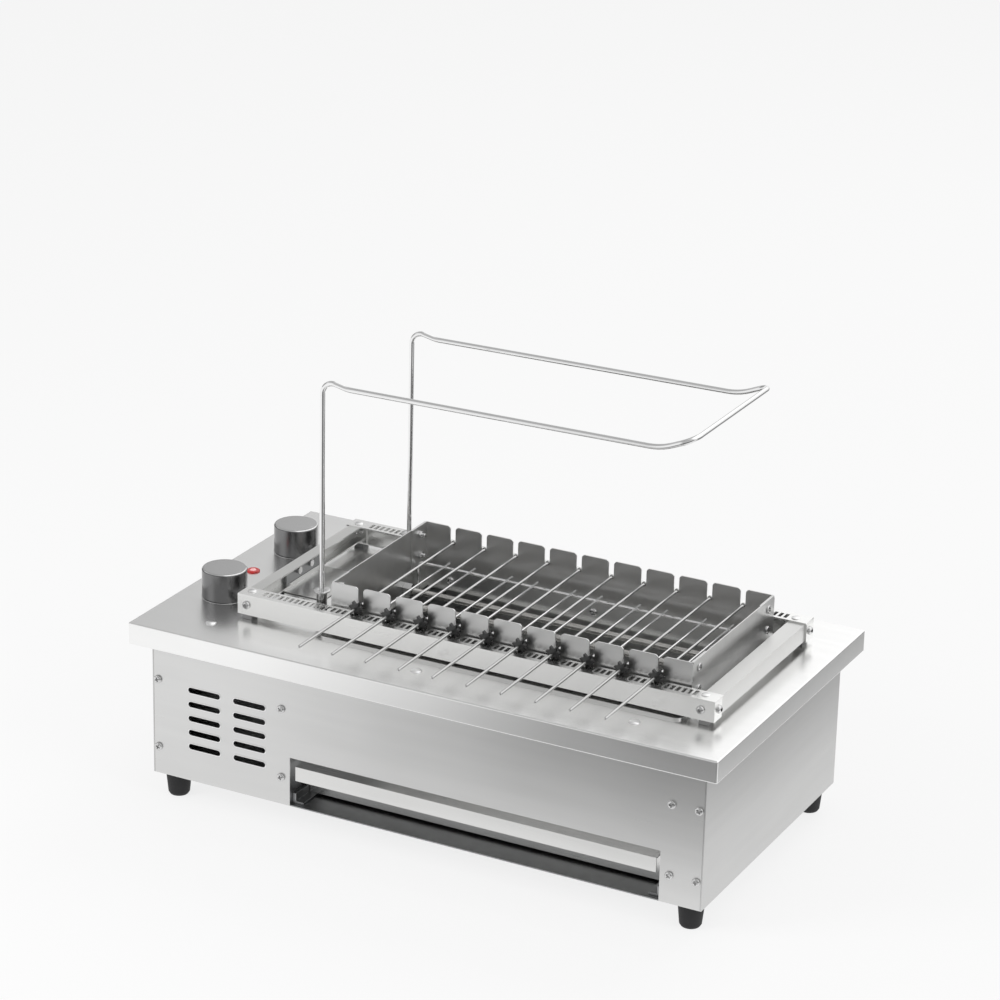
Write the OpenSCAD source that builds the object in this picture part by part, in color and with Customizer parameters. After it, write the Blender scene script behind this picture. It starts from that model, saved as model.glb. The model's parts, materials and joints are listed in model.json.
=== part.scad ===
// Electric skewer grill. A sheet-steel case carries a firebox with notched walls. Ten skewers lie
// in the notches, and the star wheel on each one stands in the slots of a frame that a motor
// pushes to and fro. A wire rack lifts out of two sockets, and a drip drawer slides out below.
// Origin: on the surface that the grill stands on, under the middle of its plan.
// +X is right, -Y is the front with the drawer, +Z is up.

/* [Case] */
// Distance from the plate's left edge to the middle of the knobs
left_margin = 42.7; // [38:0.1:50]
// Distance from the firebox to the plate's right edge
right_margin = 63.78; // [56:0.02:72]
// Depth of the top plate
plate_d = 334; // [320:2:380]
// Thickness of the top plate's sheet
plate_t = 1.5; // [1:0.1:2]
// Height of the plate's turned-down skirt
skirt_h = 21.6; // [14:0.2:28]
// Distance from the plate's edge in to the case
case_inset = 16; // [8:1:20]
// Height from the underside of the case to the top of the plate
case_h = 155; // [148:1:190]
// Thickness of the case's sheet
sheet_t = 1.2; // [0.8:0.1:1.6]
// Height of the rubber feet
foot_h = 25; // [16:1:36]
// Diameter of a foot where it meets the case
foot_d = 25; // [20:1:30]

/* [Vents] */
// Number of vent slots in a column
vent_rows = 5; // [3:1:5]
// Distance between the vent slots
vent_pitch = 14.4; // [11:0.2:15]
// Width of a vent slot
vent_w = 6; // [4:0.5:8]
// Length of a vent slot between the centres of its round ends
vent_l = 29; // [20:1:32]

/* [Firebox] */
// Distance from the plate's middle back to the firebox's middle
fire_back = 6.3; // [0:0.1:12]
// Depth of the firebox over its walls
fire_d = 180; // [170:2:186]
// Height of the firebox's walls above the well's flange
fire_h = 44.8; // [40:0.2:56]
// Thickness of the firebox's walls
fire_t = 1.2; // [0.8:0.1:1.6]
// Width of a skewer notch
notch_w = 5.4; // [4:0.2:7]
// Depth of the well below its flange
well_depth = 20; // [17:1:30]
// Diameter of the heating tube
tube_d = 6.5; // [5:0.5:8]
// Diameter of the grill net's rods
net_d = 2.2; // [1.6:0.2:3]

/* [Skewers and frame] */
// Distance between the slots in the frame
slot_pitch = 5.64; // [5.4:0.02:5.8]
// Width of a slot along the frame's travel
slot_w = 3.4; // [3.2:0.1:3.8]
// Diameter of a skewer
skewer_d = 2.8; // [2:0.2:3.2]
// Radius over the points of a star wheel
wheel_r = 7.4; // [7.2:0.1:7.6]
// Width of a star wheel along the skewer
wheel_w = 4; // [2:0.5:5]
// How far the skewers stand out past the front of the plate
overhang = 28; // [16:1:80]
// Distance from the firebox to the frame's left end
frame_reach = 88.76; // [80:0.02:98]
// Gap between the firebox's walls and the frame's rails
rail_play = 2.5; // [2:0.1:4]
// Width of a frame rail
rail_w = 18; // [16:0.5:20]
// Width of the rail at the frame's left end
left_rail_w = 13.5; // [12.5:0.5:18]
// Height of a frame rail
rail_h = 20; // [18:0.5:24]
// Thickness of the rails' sheet
rail_t = 1.5; // [1:0.1:1.8]
// Gap between the plate and the rails
rail_gap = 4.2; // [4:0.1:7]

/* [Knobs] */
// Diameter of a knob
knob_d = 43; // [36:1:46]
// Height of a knob
knob_h = 28; // [20:1:34]

/* [Rack] */
// Diameter of the rack's wire
wire_d = 5; // [4:0.5:6]
// Height of the rack's side wires above the plate
rack_h = 235; // [180:1:280]
// Length of the straight stretch of the rack's side wires
rack_run = 296; // [240:1:310]

/* [Drawer] */
// Height of the opening for the drawer
mouth_h = 48; // [42:1:56]
// Height of the drawer's tray
tray_h = 36.5; // [28:0.5:38]
// Room behind the drawer's tray
tray_room = 9.6; // [8:0.2:70]
// Height of the drawer's turned-down lip
lip_h = 14.5; // [10:0.5:16]
// How far the lip stands in front of the tray
lip_reach = 27; // [20:1:27]

/* [Hidden] */

// Facets of round solids
$fn = 48;
// Overrun of every cut
cut = 1;
// Play between a piece and the hole that it passes through
play = 0.3;
// Radial play of a running fit
run_fit = 0.05;
// How far a wire's runs reach into its bends, and how much thicker the bends are
bend_lap = 0.2;
bend_swell = 1.01;

// Skewers, the firebox's width and the frame's stroke
skewer_n = 10;
slots_per_skewer = 6;
skewer_pitch = slots_per_skewer * slot_pitch;
fire_w = (skewer_n + 1) * skewer_pitch - notch_w;
wheel_teeth = 7;
stroke = wheel_teeth * slot_pitch;
stroke_left = 9.2;
stroke_right = stroke - stroke_left;

// Width of the plate: knobs, the frame's free end and the firebox side by side
knob_clear = 7.22;
plate_w = left_margin + knob_d / 2 + knob_clear + stroke_left + frame_reach + fire_w + right_margin;

// Levels and the case
top_z = foot_h + case_h;
under_z = top_z - plate_t;
floor_z = foot_h + sheet_t;
case_x = plate_w / 2 - case_inset;
case_y = plate_d / 2 - case_inset;
// The whole plan box is centred on the origin, so the plate's middle stands behind it
home_y = overhang / 2;
// Width of the turned-in flanges that carry the panels
fold_w = 16;
vent_in = 42;
vent_gap = 20;
vent_drop = 62;

// Firebox
fire_x = plate_w / 2 - right_margin - fire_w / 2;
fire_left = fire_x - fire_w / 2;
fire_right = fire_x + fire_w / 2;
fire_y = fire_d / 2;
flange_t = 2;
flange_z = top_z + flange_t;
fire_top = flange_z + fire_h;
flange_side = 1;
flange_front = 24;
flange_r = 8;
net_bar_d = 3;
well_lip = 2 * fire_t + net_bar_d + 2 * play;
well_floor = flange_z - well_depth;
// Folded ends of the notched walls, and the screws that hold them
end_fold = 30;
foot_fold = 8;
tab_r = 3.5;
fire_screw_in = 14;
fire_screw_drop = 9;
fire_screw_rise = 15;
fire_screw_zs = [fire_top - fire_screw_drop, flange_z + fire_screw_rise];
fire_screw_h = 1.8;
nut_w = 7;
nut_t = 2.6;
well_screw_pitch = 154;

// Heating tube, its fittings and the grill net
tube_y = fire_y - 42;
tube_rise_share = 0.55;
tube_z = flange_z - well_depth * tube_rise_share;
tube_tail = 26;
tube_right = fire_right - 22;
tube_turn = fire_left + 48;
fitting_d = tube_d + 3.5;
fitting_hex = tube_d + 7.5;
fitting_head = 9;
fitting_nut = 5;
fitting_end = 2;
net_pair_half = 13.8;
net_rod_half = fire_y - 13;
net_bar_y = fire_y - 20;
net_foot_x = 2 * fire_t + net_bar_d / 2 + play;
net_z = flange_z + 12;
net_sunk = 0.3;
net_turn_r = 5;

// Frame, slots and star wheels
tooth_dip = 1.9;
tooth_tip_w = 0.9;
wheel_root_share = 0.56;
hub_d = 6.4;
hub_w = 6.5;
ring_w = 1.6;
ring_rim = 1.1;
skewer_back = 3;
skewer_tip = 6;
skewer_tip_share = 0.3;
frame_gap = 4.2;
frame_right = fire_right + stroke_left + frame_gap + rail_w;
frame_left = fire_left - frame_reach;
frame_w = frame_right - frame_left;
frame_d = fire_d + 2 * (rail_play + rail_w);
frame_y = frame_d / 2;
rail_z = top_z + rail_gap;
rail_top = rail_z + rail_h;
rail_lip = 11.5;
slot_l = 9.5;
slot_in = 1;
slot_y = frame_y - rail_w / 2 - slot_in;
end_bolt_y = frame_y - rail_w / 2;
slots_left = 17;
slots_right = 7;
axle_z = rail_top + wheel_r - tooth_dip;
first_x = fire_x - (skewer_n - 1) / 2 * skewer_pitch;
wheel_in = 2.3;
wheel_y = slot_y - wheel_in;
bolt_d = 4;
bolt_head_d = 8;
bolt_head_h = 3.2;
bolt_reach = 2 * rail_t + 4;
bolt_key_share = 0.5;
rail_end_gap = 2;
left_bolt_in = 9.5;
right_bolt_in = 13.5;
bolt_xs = [frame_left + left_bolt_in, frame_right - right_bolt_in];
rivet_share = 0.58;
rivet_y = frame_y - rail_w * rivet_share;
flat_d = 8;
flat_h = 0.8;
flat_top_share = 0.85;
flat_end = 1;
pad_w = 10;
pad_l = 12;

// Drive: yoke, crank and motor
yoke_t = 3;
yoke_w = 64;
yoke_reach = 32;
yoke_drop = 30;
yoke_rise = 14;
yoke_bolt_y = 11;
crank_r = stroke / 2;
// Swing of the crank, in radians for half a stroke, which keeps the roller in the slot
crank_swing = 1.2;
crank_slip = 1.5;
crank_spare = 1;
roller_d = 10;
roller_foot = 1;
pin_d = 6;
pin_top = 4;
disc_t = 6;
disc_rim = 8;
disc_gap = 3;
shaft_d = 8;
collar_d = 14;
collar_gap = 1;
yoke_web_x = frame_left + 2 * rail_t;
yoke_x = yoke_web_x + yoke_reach / 2;
yoke_z = top_z - yoke_drop;
// Top of the yoke's upright, just under the rail's upper flange
yoke_under = 2;
yoke_tab = rail_top - 2 * rail_t - yoke_under;
mid_travel = (stroke_right - stroke_left) / 2;
crank_x = yoke_x + mid_travel;
rest_angle = -crank_swing * mid_travel / crank_r * 180 / PI;
disc_top = yoke_z - disc_gap;
motor_d = 60;
motor_h = 52;
motor_gap = 5;
motor_cap_h = 4;
motor_cap_share = 0.8;
motor_side_gap = 3;
ear_l = 78;
ear_w = 16;
ear_t = 3;
ear_in = 4;
bracket_t = 3;
bracket_z = disc_top - disc_t - motor_gap;
bracket_half = motor_d / 2 + motor_side_gap + bracket_t;
bracket_w = ear_l + 6;
bracket_foot = 14;
bracket_hole = 16;
drive_play = 2;
drive_slot_y = yoke_w / 2 + drive_play;
drive_slot_x0 = yoke_web_x - stroke_left - drive_play;
drive_slot_x1 = yoke_web_x + yoke_t + stroke_right + drive_play;

// Knobs, switches and lamp
knob_x = -plate_w / 2 + left_margin;
knob_y = 66;
knob_gap = 0.8;
knob_edge = 1.2;
knob_wall = 2.5;
boss_d = 12;
dot_in = 5;
dot_d = 2.4;
dot_deep = 0.6;
control_d = 6;
bush_d = 9;
bush_h = 6;
bush_room = 2;
control_w = 34;
switch_share = 0.88;
control_h = 26;
control_sunk = 1;
tag_l = 8;
tag_half = 3;
tag_half_t = 0.5;
lamp_x = knob_x - 8.7;
lamp_d = 13;
lamp_rim_h = 1.6;
lamp_hole = 9;
lamp_l = 24;
lens_d = lamp_hole - 2;
lens_sunk = 2;
lens_rise = 1.2;
lens_top_d = lamp_hole - 5;
lens_top_h = 1;

// Rack and sockets
rack_x = fire_left - 13.8;
rack_y = fire_y - 6.5;
socket_d = 10;
socket_h = 32.3;
socket_sunk = 10;
socket_floor = 3;
socket_collar = 1.5;
socket_collar_h = 2;
socket_nut = 4;
socket_nut_wall = 3;
washer_d = 16;
washer_t = 1.5;
wire_fit = 0.1;
// The rack's arches: their turn, their height above the side wires and the slope that follows
arch_turn = 102;
arch_r = 11;
arch_rise = 2.5;
arch_dip = 9;
lead_r = 40;
side_slope = 0.6;
// The lift of the rack's far end and the corners of its cross bar
tip_lift = 22;
tip_r = 60;
tip_run = 8;
corner_r = 14;

// Drawer and its compartment
mouth_gap = 3.5;
part_left = fire_left - 4.4;
part_right = fire_right + 6.4;
guide_t = 2.5;
guide_w = 12;
guide_h = 8;
guide_leg = 4;
guide_in = 4 * sheet_t;
guide_play = 0.5;
tray_t = 1.2;
tray_left = part_left + guide_leg + guide_play;
tray_right = part_right - guide_leg - guide_play;
tray_z = floor_z + guide_t;
lip_play = 1;
tray_front = -case_y + sheet_t + lip_play + lip_reach;
tray_d = 2 * (case_y - sheet_t) - lip_play - lip_reach - tray_room;

// Screws, rivets, gland and terminals
screw_d = 4;
screw_head_d = 8;
screw_head_h = 2.6;
screw_l = 8;
screw_rim_share = 0.45;
screw_top_share = 0.6;
screw_zs = [top_z - 58.5, foot_h + 27.5];
screw_edge = 6;
rivet_d = 10.5;
rivet_h = 1.4;
rivet_top_share = 0.7;
rivet_pitch = 218;
rivet_mid = fire_x - 68.3;
plate_rivet_y = fire_back + fire_y + flange_front + 8.7;
foot_in = 17;
foot_sunk = 3;
foot_recess = screw_head_h + foot_sunk;
foot_bottom_share = 0.41;
foot_edge_share = 0.1;
gland_x = -case_x + 44;
gland_z = foot_h + 45;
gland_d = 16;
gland_bore = 8.5;
gland_l = 24;
gland_out_share = 0.6;
gland_nut = 4;
gland_hex = 22;
gland_cap_d = 19;
gland_tip_d = 14;
gland_end = 2;
block_l = 62;
block_w = 24;
block_h = 18;
block_x = -case_x + 75;
block_y = case_y - 46;
block_ways = 5;
block_hole_share = 0.5;
block_fence = 1.5;
block_fence_share = 0.6;

// Sets a piece that is drawn about the plate's middle into the part's own frame
module home() {
    translate([0, home_y, 0]) children();
}

// The same for the pieces that are drawn about the firebox's middle
module hearth() {
    translate([0, home_y + fire_back, 0]) children();
}

// A box from its two opposite corners
module block(a, b) {
    translate(a) cube(b - a);
}

// A sheet that stands across Y, with its outer face at y, drawn in X and Z
module upright(y, t) {
    translate([0, y, 0]) rotate([90, 0, 0]) linear_extrude(t) children();
}

// A round bar along X, Y or Z from a point
module bar_x(p, d, l) {
    translate(p) rotate([0, 90, 0]) cylinder(d = d, h = l);
}

module bar_y(p, d, l) {
    translate(p) rotate([-90, 0, 0]) cylinder(d = d, h = l);
}

module bar_z(p, d, l) {
    translate(p) cylinder(d = d, h = l);
}

// A flat rectangle with round corners, made of squares and circles
module round_rect(size, r) {
    for (turn = [0, 1]) {
        square(turn == 0 ? [size.x - 2 * r, size.y] : [size.x, size.y - 2 * r], center = true);
    }
    for (sx = [-1, 1], sy = [-1, 1]) {
        translate([sx * (size.x / 2 - r), sy * (size.y / 2 - r)]) circle(r);
    }
}

// A pan-head screw along +Z: its seat at the origin and its shank below
module pan_screw(l) {
    rim = screw_head_h * screw_rim_share;
    cylinder(d = screw_head_d, h = rim);
    translate([0, 0, rim]) {
        cylinder(d1 = screw_head_d, d2 = screw_head_d * screw_top_share, h = screw_head_h - rim);
    }
    translate([0, 0, -l]) cylinder(d = screw_d, h = l);
}

// A length of round wire, then a turn of it: steps are ["run", length], ["bend", angle, radius]
// towards the wire's own -X, and ["roll", angle] about the wire. A bend is a hair thicker than a
// run, and each run reaches into the bends beside it
module wire(d, steps, i = 0) {
    if (i < len(steps)) {
        step = steps[i];
        if (step[0] == "run") {
            lead = i > 0 ? bend_lap : 0;
            tail = i < len(steps) - 1 ? bend_lap : 0;
            translate([0, 0, -lead]) cylinder(d = d, h = step[1] + lead + tail);
            translate([0, 0, step[1]]) wire(d, steps, i + 1);
        }
        if (step[0] == "roll") {
            rotate([0, 0, step[1]]) wire(d, steps, i + 1);
        }
        if (step[0] == "bend") {
            translate([-step[2], 0, 0]) {
                rotate([90, 0, 0]) rotate_extrude(angle = step[1]) {
                    translate([step[2], 0]) circle(d = d * bend_swell);
                }
                rotate([0, -step[1], 0]) translate([step[2], 0, 0]) wire(d, steps, i + 1);
            }
        }
    }
}

// Case

module top_plate() {
    half = [plate_w / 2, plate_d / 2, 0];
    color("gainsboro") home() difference() {
        block([-half.x, -half.y, top_z - skirt_h], [half.x, half.y, top_z]);
        block([-half.x + plate_t, -half.y + plate_t, top_z - skirt_h - cut],
            [half.x - plate_t, half.y - plate_t, under_z]);
        block([fire_left - play, fire_back - fire_y - play, under_z - cut],
            [fire_right + play, fire_back + fire_y + play, top_z + cut]);
        block([drive_slot_x0, fire_back - drive_slot_y, under_z - cut],
            [drive_slot_x1, fire_back + drive_slot_y, top_z + cut]);
        for (s = [-1, 1]) {
            bar_z([knob_x, s * knob_y, under_z - cut], bush_d + 2 * play, plate_t + 2 * cut);
            bar_z([rack_x, fire_back + s * rack_y, under_z - cut], socket_d + 2 * play, plate_t + 2 * cut);
        }
        bar_z([lamp_x, 0, under_z - cut], lamp_hole + 2 * play, plate_t + 2 * cut);
        for (i = [-1:1], s = [-1, 1]) {
            bar_z([rivet_mid + i * rivet_pitch, s * plate_rivet_y, under_z - cut],
                screw_d + 2 * play, plate_t + 2 * cut);
        }
    }
}

module base_pan() {
    inner = case_x - sheet_t;
    color("silver") home() difference() {
        union() {
            block([-inner, -case_y + sheet_t, foot_h], [inner, case_y - sheet_t, floor_z]);
            block([part_left, -case_y, foot_h], [part_right, -case_y + sheet_t, floor_z]);
            for (s = [-1, 1]) {
                block([s > 0 ? inner - sheet_t : -inner, -case_y + fold_w + 2 * sheet_t, foot_h],
                    [s > 0 ? inner : -inner + sheet_t, case_y - fold_w - 2 * sheet_t, foot_h + fold_w]);
            }
        }
        for (sx = [-1, 1], sy = [-1, 1]) {
            bar_z([sx * (case_x - foot_in), sy * (case_y - foot_in), foot_h - cut],
                screw_d + 2 * play, sheet_t + 2 * cut);
        }
    }
}

// A side wall with its ends folded in behind the front and rear panels
module side_wall() {
    inner = case_x - sheet_t;
    fold_in = case_x - fold_w;
    seat = case_y - sheet_t;
    color("silver") home() difference() {
        translate([0, 0, foot_h]) linear_extrude(under_z - foot_h) {
            polygon([[case_x, -case_y], [case_x, case_y], [inner, case_y], [inner, seat],
                [fold_in, seat], [fold_in, seat - sheet_t], [inner, seat - sheet_t],
                [inner, -seat + sheet_t], [fold_in, -seat + sheet_t], [fold_in, -seat],
                [inner, -seat], [inner, -case_y]]);
        }
        // The folds stand on the base pan
        block([fold_in - cut, -seat - cut, foot_h - cut], [inner, seat + cut, floor_z]);
        for (s = [-1, 1], z = screw_zs) {
            bar_y([case_x - screw_edge, s * seat - 2 * cut, z], screw_d + 2 * play, 4 * cut);
        }
    }
}

module left_side() {
    mirror([1, 0, 0]) side_wall();
}

module right_side() {
    side_wall();
}

// Two columns of vent slots, drawn in X and Z
module vents() {
    for (column = [0, 1], row = [0:vent_rows - 1]) {
        x = -case_x + vent_in + column * (vent_l + vent_gap) + vent_l / 2;
        translate([x, top_z - vent_drop - row * vent_pitch]) {
            square([vent_l, vent_w], center = true);
            for (s = [-1, 1]) {
                translate([s * vent_l / 2, 0]) circle(d = vent_w);
            }
        }
    }
}

// Places of the panel screws, as X and height
function panel_screws() = [
    for (z = screw_zs, x = [-case_x + screw_edge, part_left - sheet_t - fold_w / 2,
        part_right + sheet_t + fold_w / 2, case_x - screw_edge]) [x, z]
];

module panel_outline() {
    inner = case_x - sheet_t - play / 2;
    difference() {
        translate([-inner, foot_h]) square([2 * inner, under_z - foot_h]);
        for (p = panel_screws()) {
            translate(p) circle(d = screw_d + 2 * play);
        }
        vents();
    }
}

module front_panel() {
    color("gainsboro") home() upright(-case_y + sheet_t, sheet_t) difference() {
        panel_outline();
        translate([part_left, foot_h - cut]) square([part_right - part_left, mouth_h + sheet_t + cut]);
    }
}

module rear_panel() {
    color("silver") home() upright(case_y, sheet_t) difference() {
        panel_outline();
        translate([gland_x, gland_z]) circle(d = gland_d + 2 * play);
    }
}

// A wall beside the drawer, with its ends folded out behind the panels
module partition(x, s) {
    seat = case_y - sheet_t;
    color("silver") home() difference() {
        translate([x, 0, floor_z]) linear_extrude(under_z - floor_z) mirror([s < 0 ? 1 : 0, 0]) {
            polygon([[0, -seat], [fold_w, -seat], [fold_w, -seat + sheet_t], [sheet_t, -seat + sheet_t],
                [sheet_t, seat - sheet_t], [fold_w, seat - sheet_t], [fold_w, seat], [0, seat]]);
        }
        for (e = [-1, 1], z = screw_zs) {
            bar_y([x + s * (sheet_t + fold_w / 2), e * seat - 2 * cut, z], screw_d + 2 * play, 4 * cut);
        }
        if (s < 0) {
            for (e = [-1, 1]) {
                bar_x([x - sheet_t - cut, fire_back + e * tube_y, tube_z], fitting_d + 2 * play,
                    sheet_t + 2 * cut);
            }
        }
    }
}

module left_partition() {
    partition(part_left, -1);
}

module right_partition() {
    partition(part_right, 1);
}

module rubber_feet() {
    bottom_r = foot_d * foot_bottom_share;
    edge = foot_d * foot_edge_share;
    color([0.08, 0.08, 0.08]) home() for (sx = [-1, 1], sy = [-1, 1]) {
        translate([sx * (case_x - foot_in), sy * (case_y - foot_in), 0]) difference() {
            union() {
                cylinder(r1 = bottom_r - edge, r2 = bottom_r, h = edge);
                translate([0, 0, edge]) cylinder(r1 = bottom_r, r2 = foot_d / 2, h = foot_h - edge);
            }
            translate([0, 0, -cut]) cylinder(d = screw_head_d + 2 * play, h = foot_recess + cut);
            cylinder(d = screw_d + 2 * play, h = foot_h + cut);
        }
    }
}

module case_screws() {
    color("white") home() {
        for (p = panel_screws()) {
            translate([p.x, -case_y, p.y]) rotate([90, 0, 0]) pan_screw(screw_l);
            translate([p.x, case_y, p.y]) rotate([-90, 0, 0]) pan_screw(screw_l);
        }
        for (sx = [-1, 1], sy = [-1, 1]) {
            translate([sx * (case_x - foot_in), sy * (case_y - foot_in), foot_recess]) {
                rotate([180, 0, 0]) pan_screw(foot_h - foot_recess + screw_l / 2);
            }
        }
    }
}

module plate_rivets() {
    color("white") home() for (i = [-1:1], s = [-1, 1]) {
        translate([rivet_mid + i * rivet_pitch, s * plate_rivet_y, top_z]) {
            cylinder(d1 = rivet_d, d2 = rivet_d * rivet_top_share, h = rivet_h);
            translate([0, 0, -screw_l]) cylinder(d = screw_d, h = screw_l);
        }
    }
}

// Firebox, well and heat

module fire_well() {
    w = fire_w + 2 * flange_side;
    color("gainsboro") hearth() translate([fire_x, 0, 0]) difference() {
        union() {
            translate([0, 0, top_z]) linear_extrude(flange_t) {
                round_rect([w, fire_d + 2 * flange_front], flange_r);
            }
            translate([-fire_w / 2, -fire_y, well_floor]) cube([fire_w, fire_d, well_depth - flange_t]);
        }
        block([-fire_w / 2 + fire_t, -fire_y + fire_t, well_floor + sheet_t],
            [fire_w / 2 - fire_t, fire_y - fire_t, flange_z + cut]);
        block([-fire_w / 2 + well_lip, -fire_y + well_lip, well_floor - cut],
            [fire_w / 2 - well_lip, fire_y - well_lip, flange_z]);
        for (s = [-1, 1]) {
            bar_x([-fire_w / 2 - cut, s * tube_y, tube_z], fitting_d + 2 * play, fire_t + 2 * cut);
        }
        for (i = [-1:1]) {
            bar_y([i * well_screw_pitch, -fire_y - cut, tube_z], screw_d + 2 * play, fire_d + 2 * cut);
        }
    }
}

module well_screws() {
    color("white") hearth() for (i = [-1:1], s = [-1, 1]) {
        translate([fire_x + i * well_screw_pitch, s * (fire_y - fire_t), tube_z]) {
            rotate([s * 90, 0, 0]) pan_screw(screw_l);
        }
    }
}

// Outline of one notched wall in X and Z, with round tab corners and round notch bottoms
module notched_outline() {
    tab_w = skewer_pitch - notch_w;
    seat = axle_z - skewer_d / 2 - run_fit;
    difference() {
        translate([fire_left, flange_z]) square([fire_w, fire_h]);
        for (i = [0:skewer_n - 1]) {
            translate([first_x + i * skewer_pitch, seat + notch_w / 2]) {
                circle(d = notch_w);
                translate([-notch_w / 2, 0]) square([notch_w, fire_top - seat]);
            }
        }
        for (i = [0:skewer_n], s = [-1, 1]) {
            translate([fire_x + (i - skewer_n / 2) * skewer_pitch + s * tab_w / 2, fire_top]) {
                difference() {
                    square(2 * tab_r, center = true);
                    translate([-s * tab_r, -tab_r]) circle(tab_r);
                }
            }
        }
    }
}

// A notched wall: the front one, with its ends folded back and its foot folded out
module notched_wall() {
    difference() {
        union() {
            upright(-fire_y + fire_t, fire_t) notched_outline();
            block([fire_left, -fire_y - foot_fold, flange_z], [fire_right, -fire_y, flange_z + fire_t]);
            for (s = [-1, 1]) {
                x = fire_x + s * (fire_w / 2 - 1.5 * fire_t);
                block([x - fire_t / 2, -fire_y, flange_z], [x + fire_t / 2, -fire_y + end_fold, fire_top]);
            }
        }
        for (z = fire_screw_zs) {
            bar_x([fire_left - cut, -fire_y + fire_screw_in, z], screw_d + 2 * play, fire_w + 2 * cut);
        }
    }
}

module firebox_front() {
    color("lightgray") hearth() notched_wall();
}

module firebox_rear() {
    color("lightgray") hearth() mirror([0, 1, 0]) notched_wall();
}

module firebox_end(s) {
    outer = fire_x + s * fire_w / 2;
    x0 = min(outer, outer - s * fire_t);
    color("lightgray") hearth() difference() {
        block([x0, -fire_y + fire_t, flange_z], [x0 + fire_t, fire_y - fire_t, fire_top]);
        for (e = [-1, 1], z = fire_screw_zs) {
            bar_x([x0 - cut, e * (fire_y - fire_screw_in), z], screw_d + 2 * play, fire_t + 2 * cut);
        }
    }
}

module firebox_left() {
    firebox_end(-1);
}

module firebox_right() {
    firebox_end(1);
}

module firebox_screws() {
    color("white") hearth() {
        for (s = [-1, 1], e = [-1, 1], z = fire_screw_zs) {
            translate([fire_x + s * fire_w / 2, e * (fire_y - fire_screw_in), z]) rotate([0, s * 90, 0]) {
                cylinder(d1 = screw_head_d, d2 = screw_head_d * screw_top_share, h = fire_screw_h);
                translate([0, 0, -screw_l]) cylinder(d = screw_d, h = screw_l);
                translate([0, 0, -2 * fire_t - nut_t]) cylinder(d = nut_w, h = nut_t, $fn = 6);
            }
        }
    }
}

// Four straight runs of the heating tube, the outer two with tails that pass the fittings
module heating_element() {
    turn_r = tube_y / 3;
    tail = fire_left - tube_tail;
    color("dimgray") hearth() for (i = [0:3]) {
        start = i % 3 == 0 ? tail : tube_turn;
        translate([start, (2 * i - 3) * turn_r, tube_z]) rotate([0, 90, 0]) {
            cylinder(d = tube_d, h = tube_right - start);
        }
    }
}

// Three half turns that join the runs: at the right, at the left and at the right
module element_bends() {
    turn_r = tube_y / 3;
    color("dimgray") hearth() for (i = [0:2]) {
        right = i % 2 == 0;
        translate([right ? tube_right : tube_turn, 2 * (i - 1) * turn_r, tube_z]) {
            rotate([0, 0, right ? -90 : 90]) rotate_extrude(angle = 180) {
                translate([turn_r, 0]) circle(d = tube_d);
            }
        }
    }
}

// Hexagon bushes inside the well and round nuts behind the partition
module element_fittings() {
    inside = fire_left + fire_t;
    tail = part_left - sheet_t - fitting_nut - fitting_end;
    bore = tube_d + 2 * wire_fit;
    color("silver") hearth() for (s = [-1, 1]) translate([0, s * tube_y, tube_z]) rotate([0, 90, 0]) {
        difference() {
            union() {
                translate([0, 0, inside]) cylinder(d = fitting_hex, h = fitting_head, $fn = 6);
                translate([0, 0, tail]) cylinder(d = fitting_d, h = inside - tail);
            }
            translate([0, 0, tail - cut]) cylinder(d = bore, h = inside + fitting_head - tail + 2 * cut);
        }
        translate([0, 0, part_left - sheet_t - fitting_nut]) difference() {
            cylinder(d = fitting_hex, h = fitting_nut, $fn = 6);
            translate([0, 0, -cut]) cylinder(d = fitting_d + wire_fit, h = fitting_nut + 2 * cut);
        }
    }
}

// Rods in pairs, a pair to every two skewers, on two bars with turned-down feet
module grill_net() {
    bar_z = net_z - (net_d + net_bar_d) / 2 + net_sunk;
    ledge_z = well_floor + sheet_t;
    leg = bar_z - ledge_z - net_turn_r;
    span = fire_w - 2 * (net_foot_x + net_turn_r);
    color("white") hearth() {
        for (i = [0:skewer_n / 2 - 1], s = [-1, 1]) {
            x = fire_x + (i - (skewer_n / 2 - 1) / 2) * 2 * skewer_pitch + s * net_pair_half;
            bar_y([x, -net_rod_half, net_z], net_d, 2 * net_rod_half);
        }
        for (s = [-1, 1]) translate([fire_left + net_foot_x, s * net_bar_y, ledge_z]) {
            rotate([0, 0, 180]) wire(net_bar_d, [
                ["run", leg], ["bend", 90, net_turn_r], ["run", span], ["bend", 90, net_turn_r], ["run", leg]
            ]);
        }
    }
}

// Frame and drive

// Section of a rail: web at 0, flanges towards +X, the lower one short
module rail_section(w, h, lip) {
    polygon([[0, 0], [lip, 0], [lip, rail_t], [rail_t, rail_t], [rail_t, h - rail_t],
        [w, h - rail_t], [w, h], [0, h]]);
}

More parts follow.
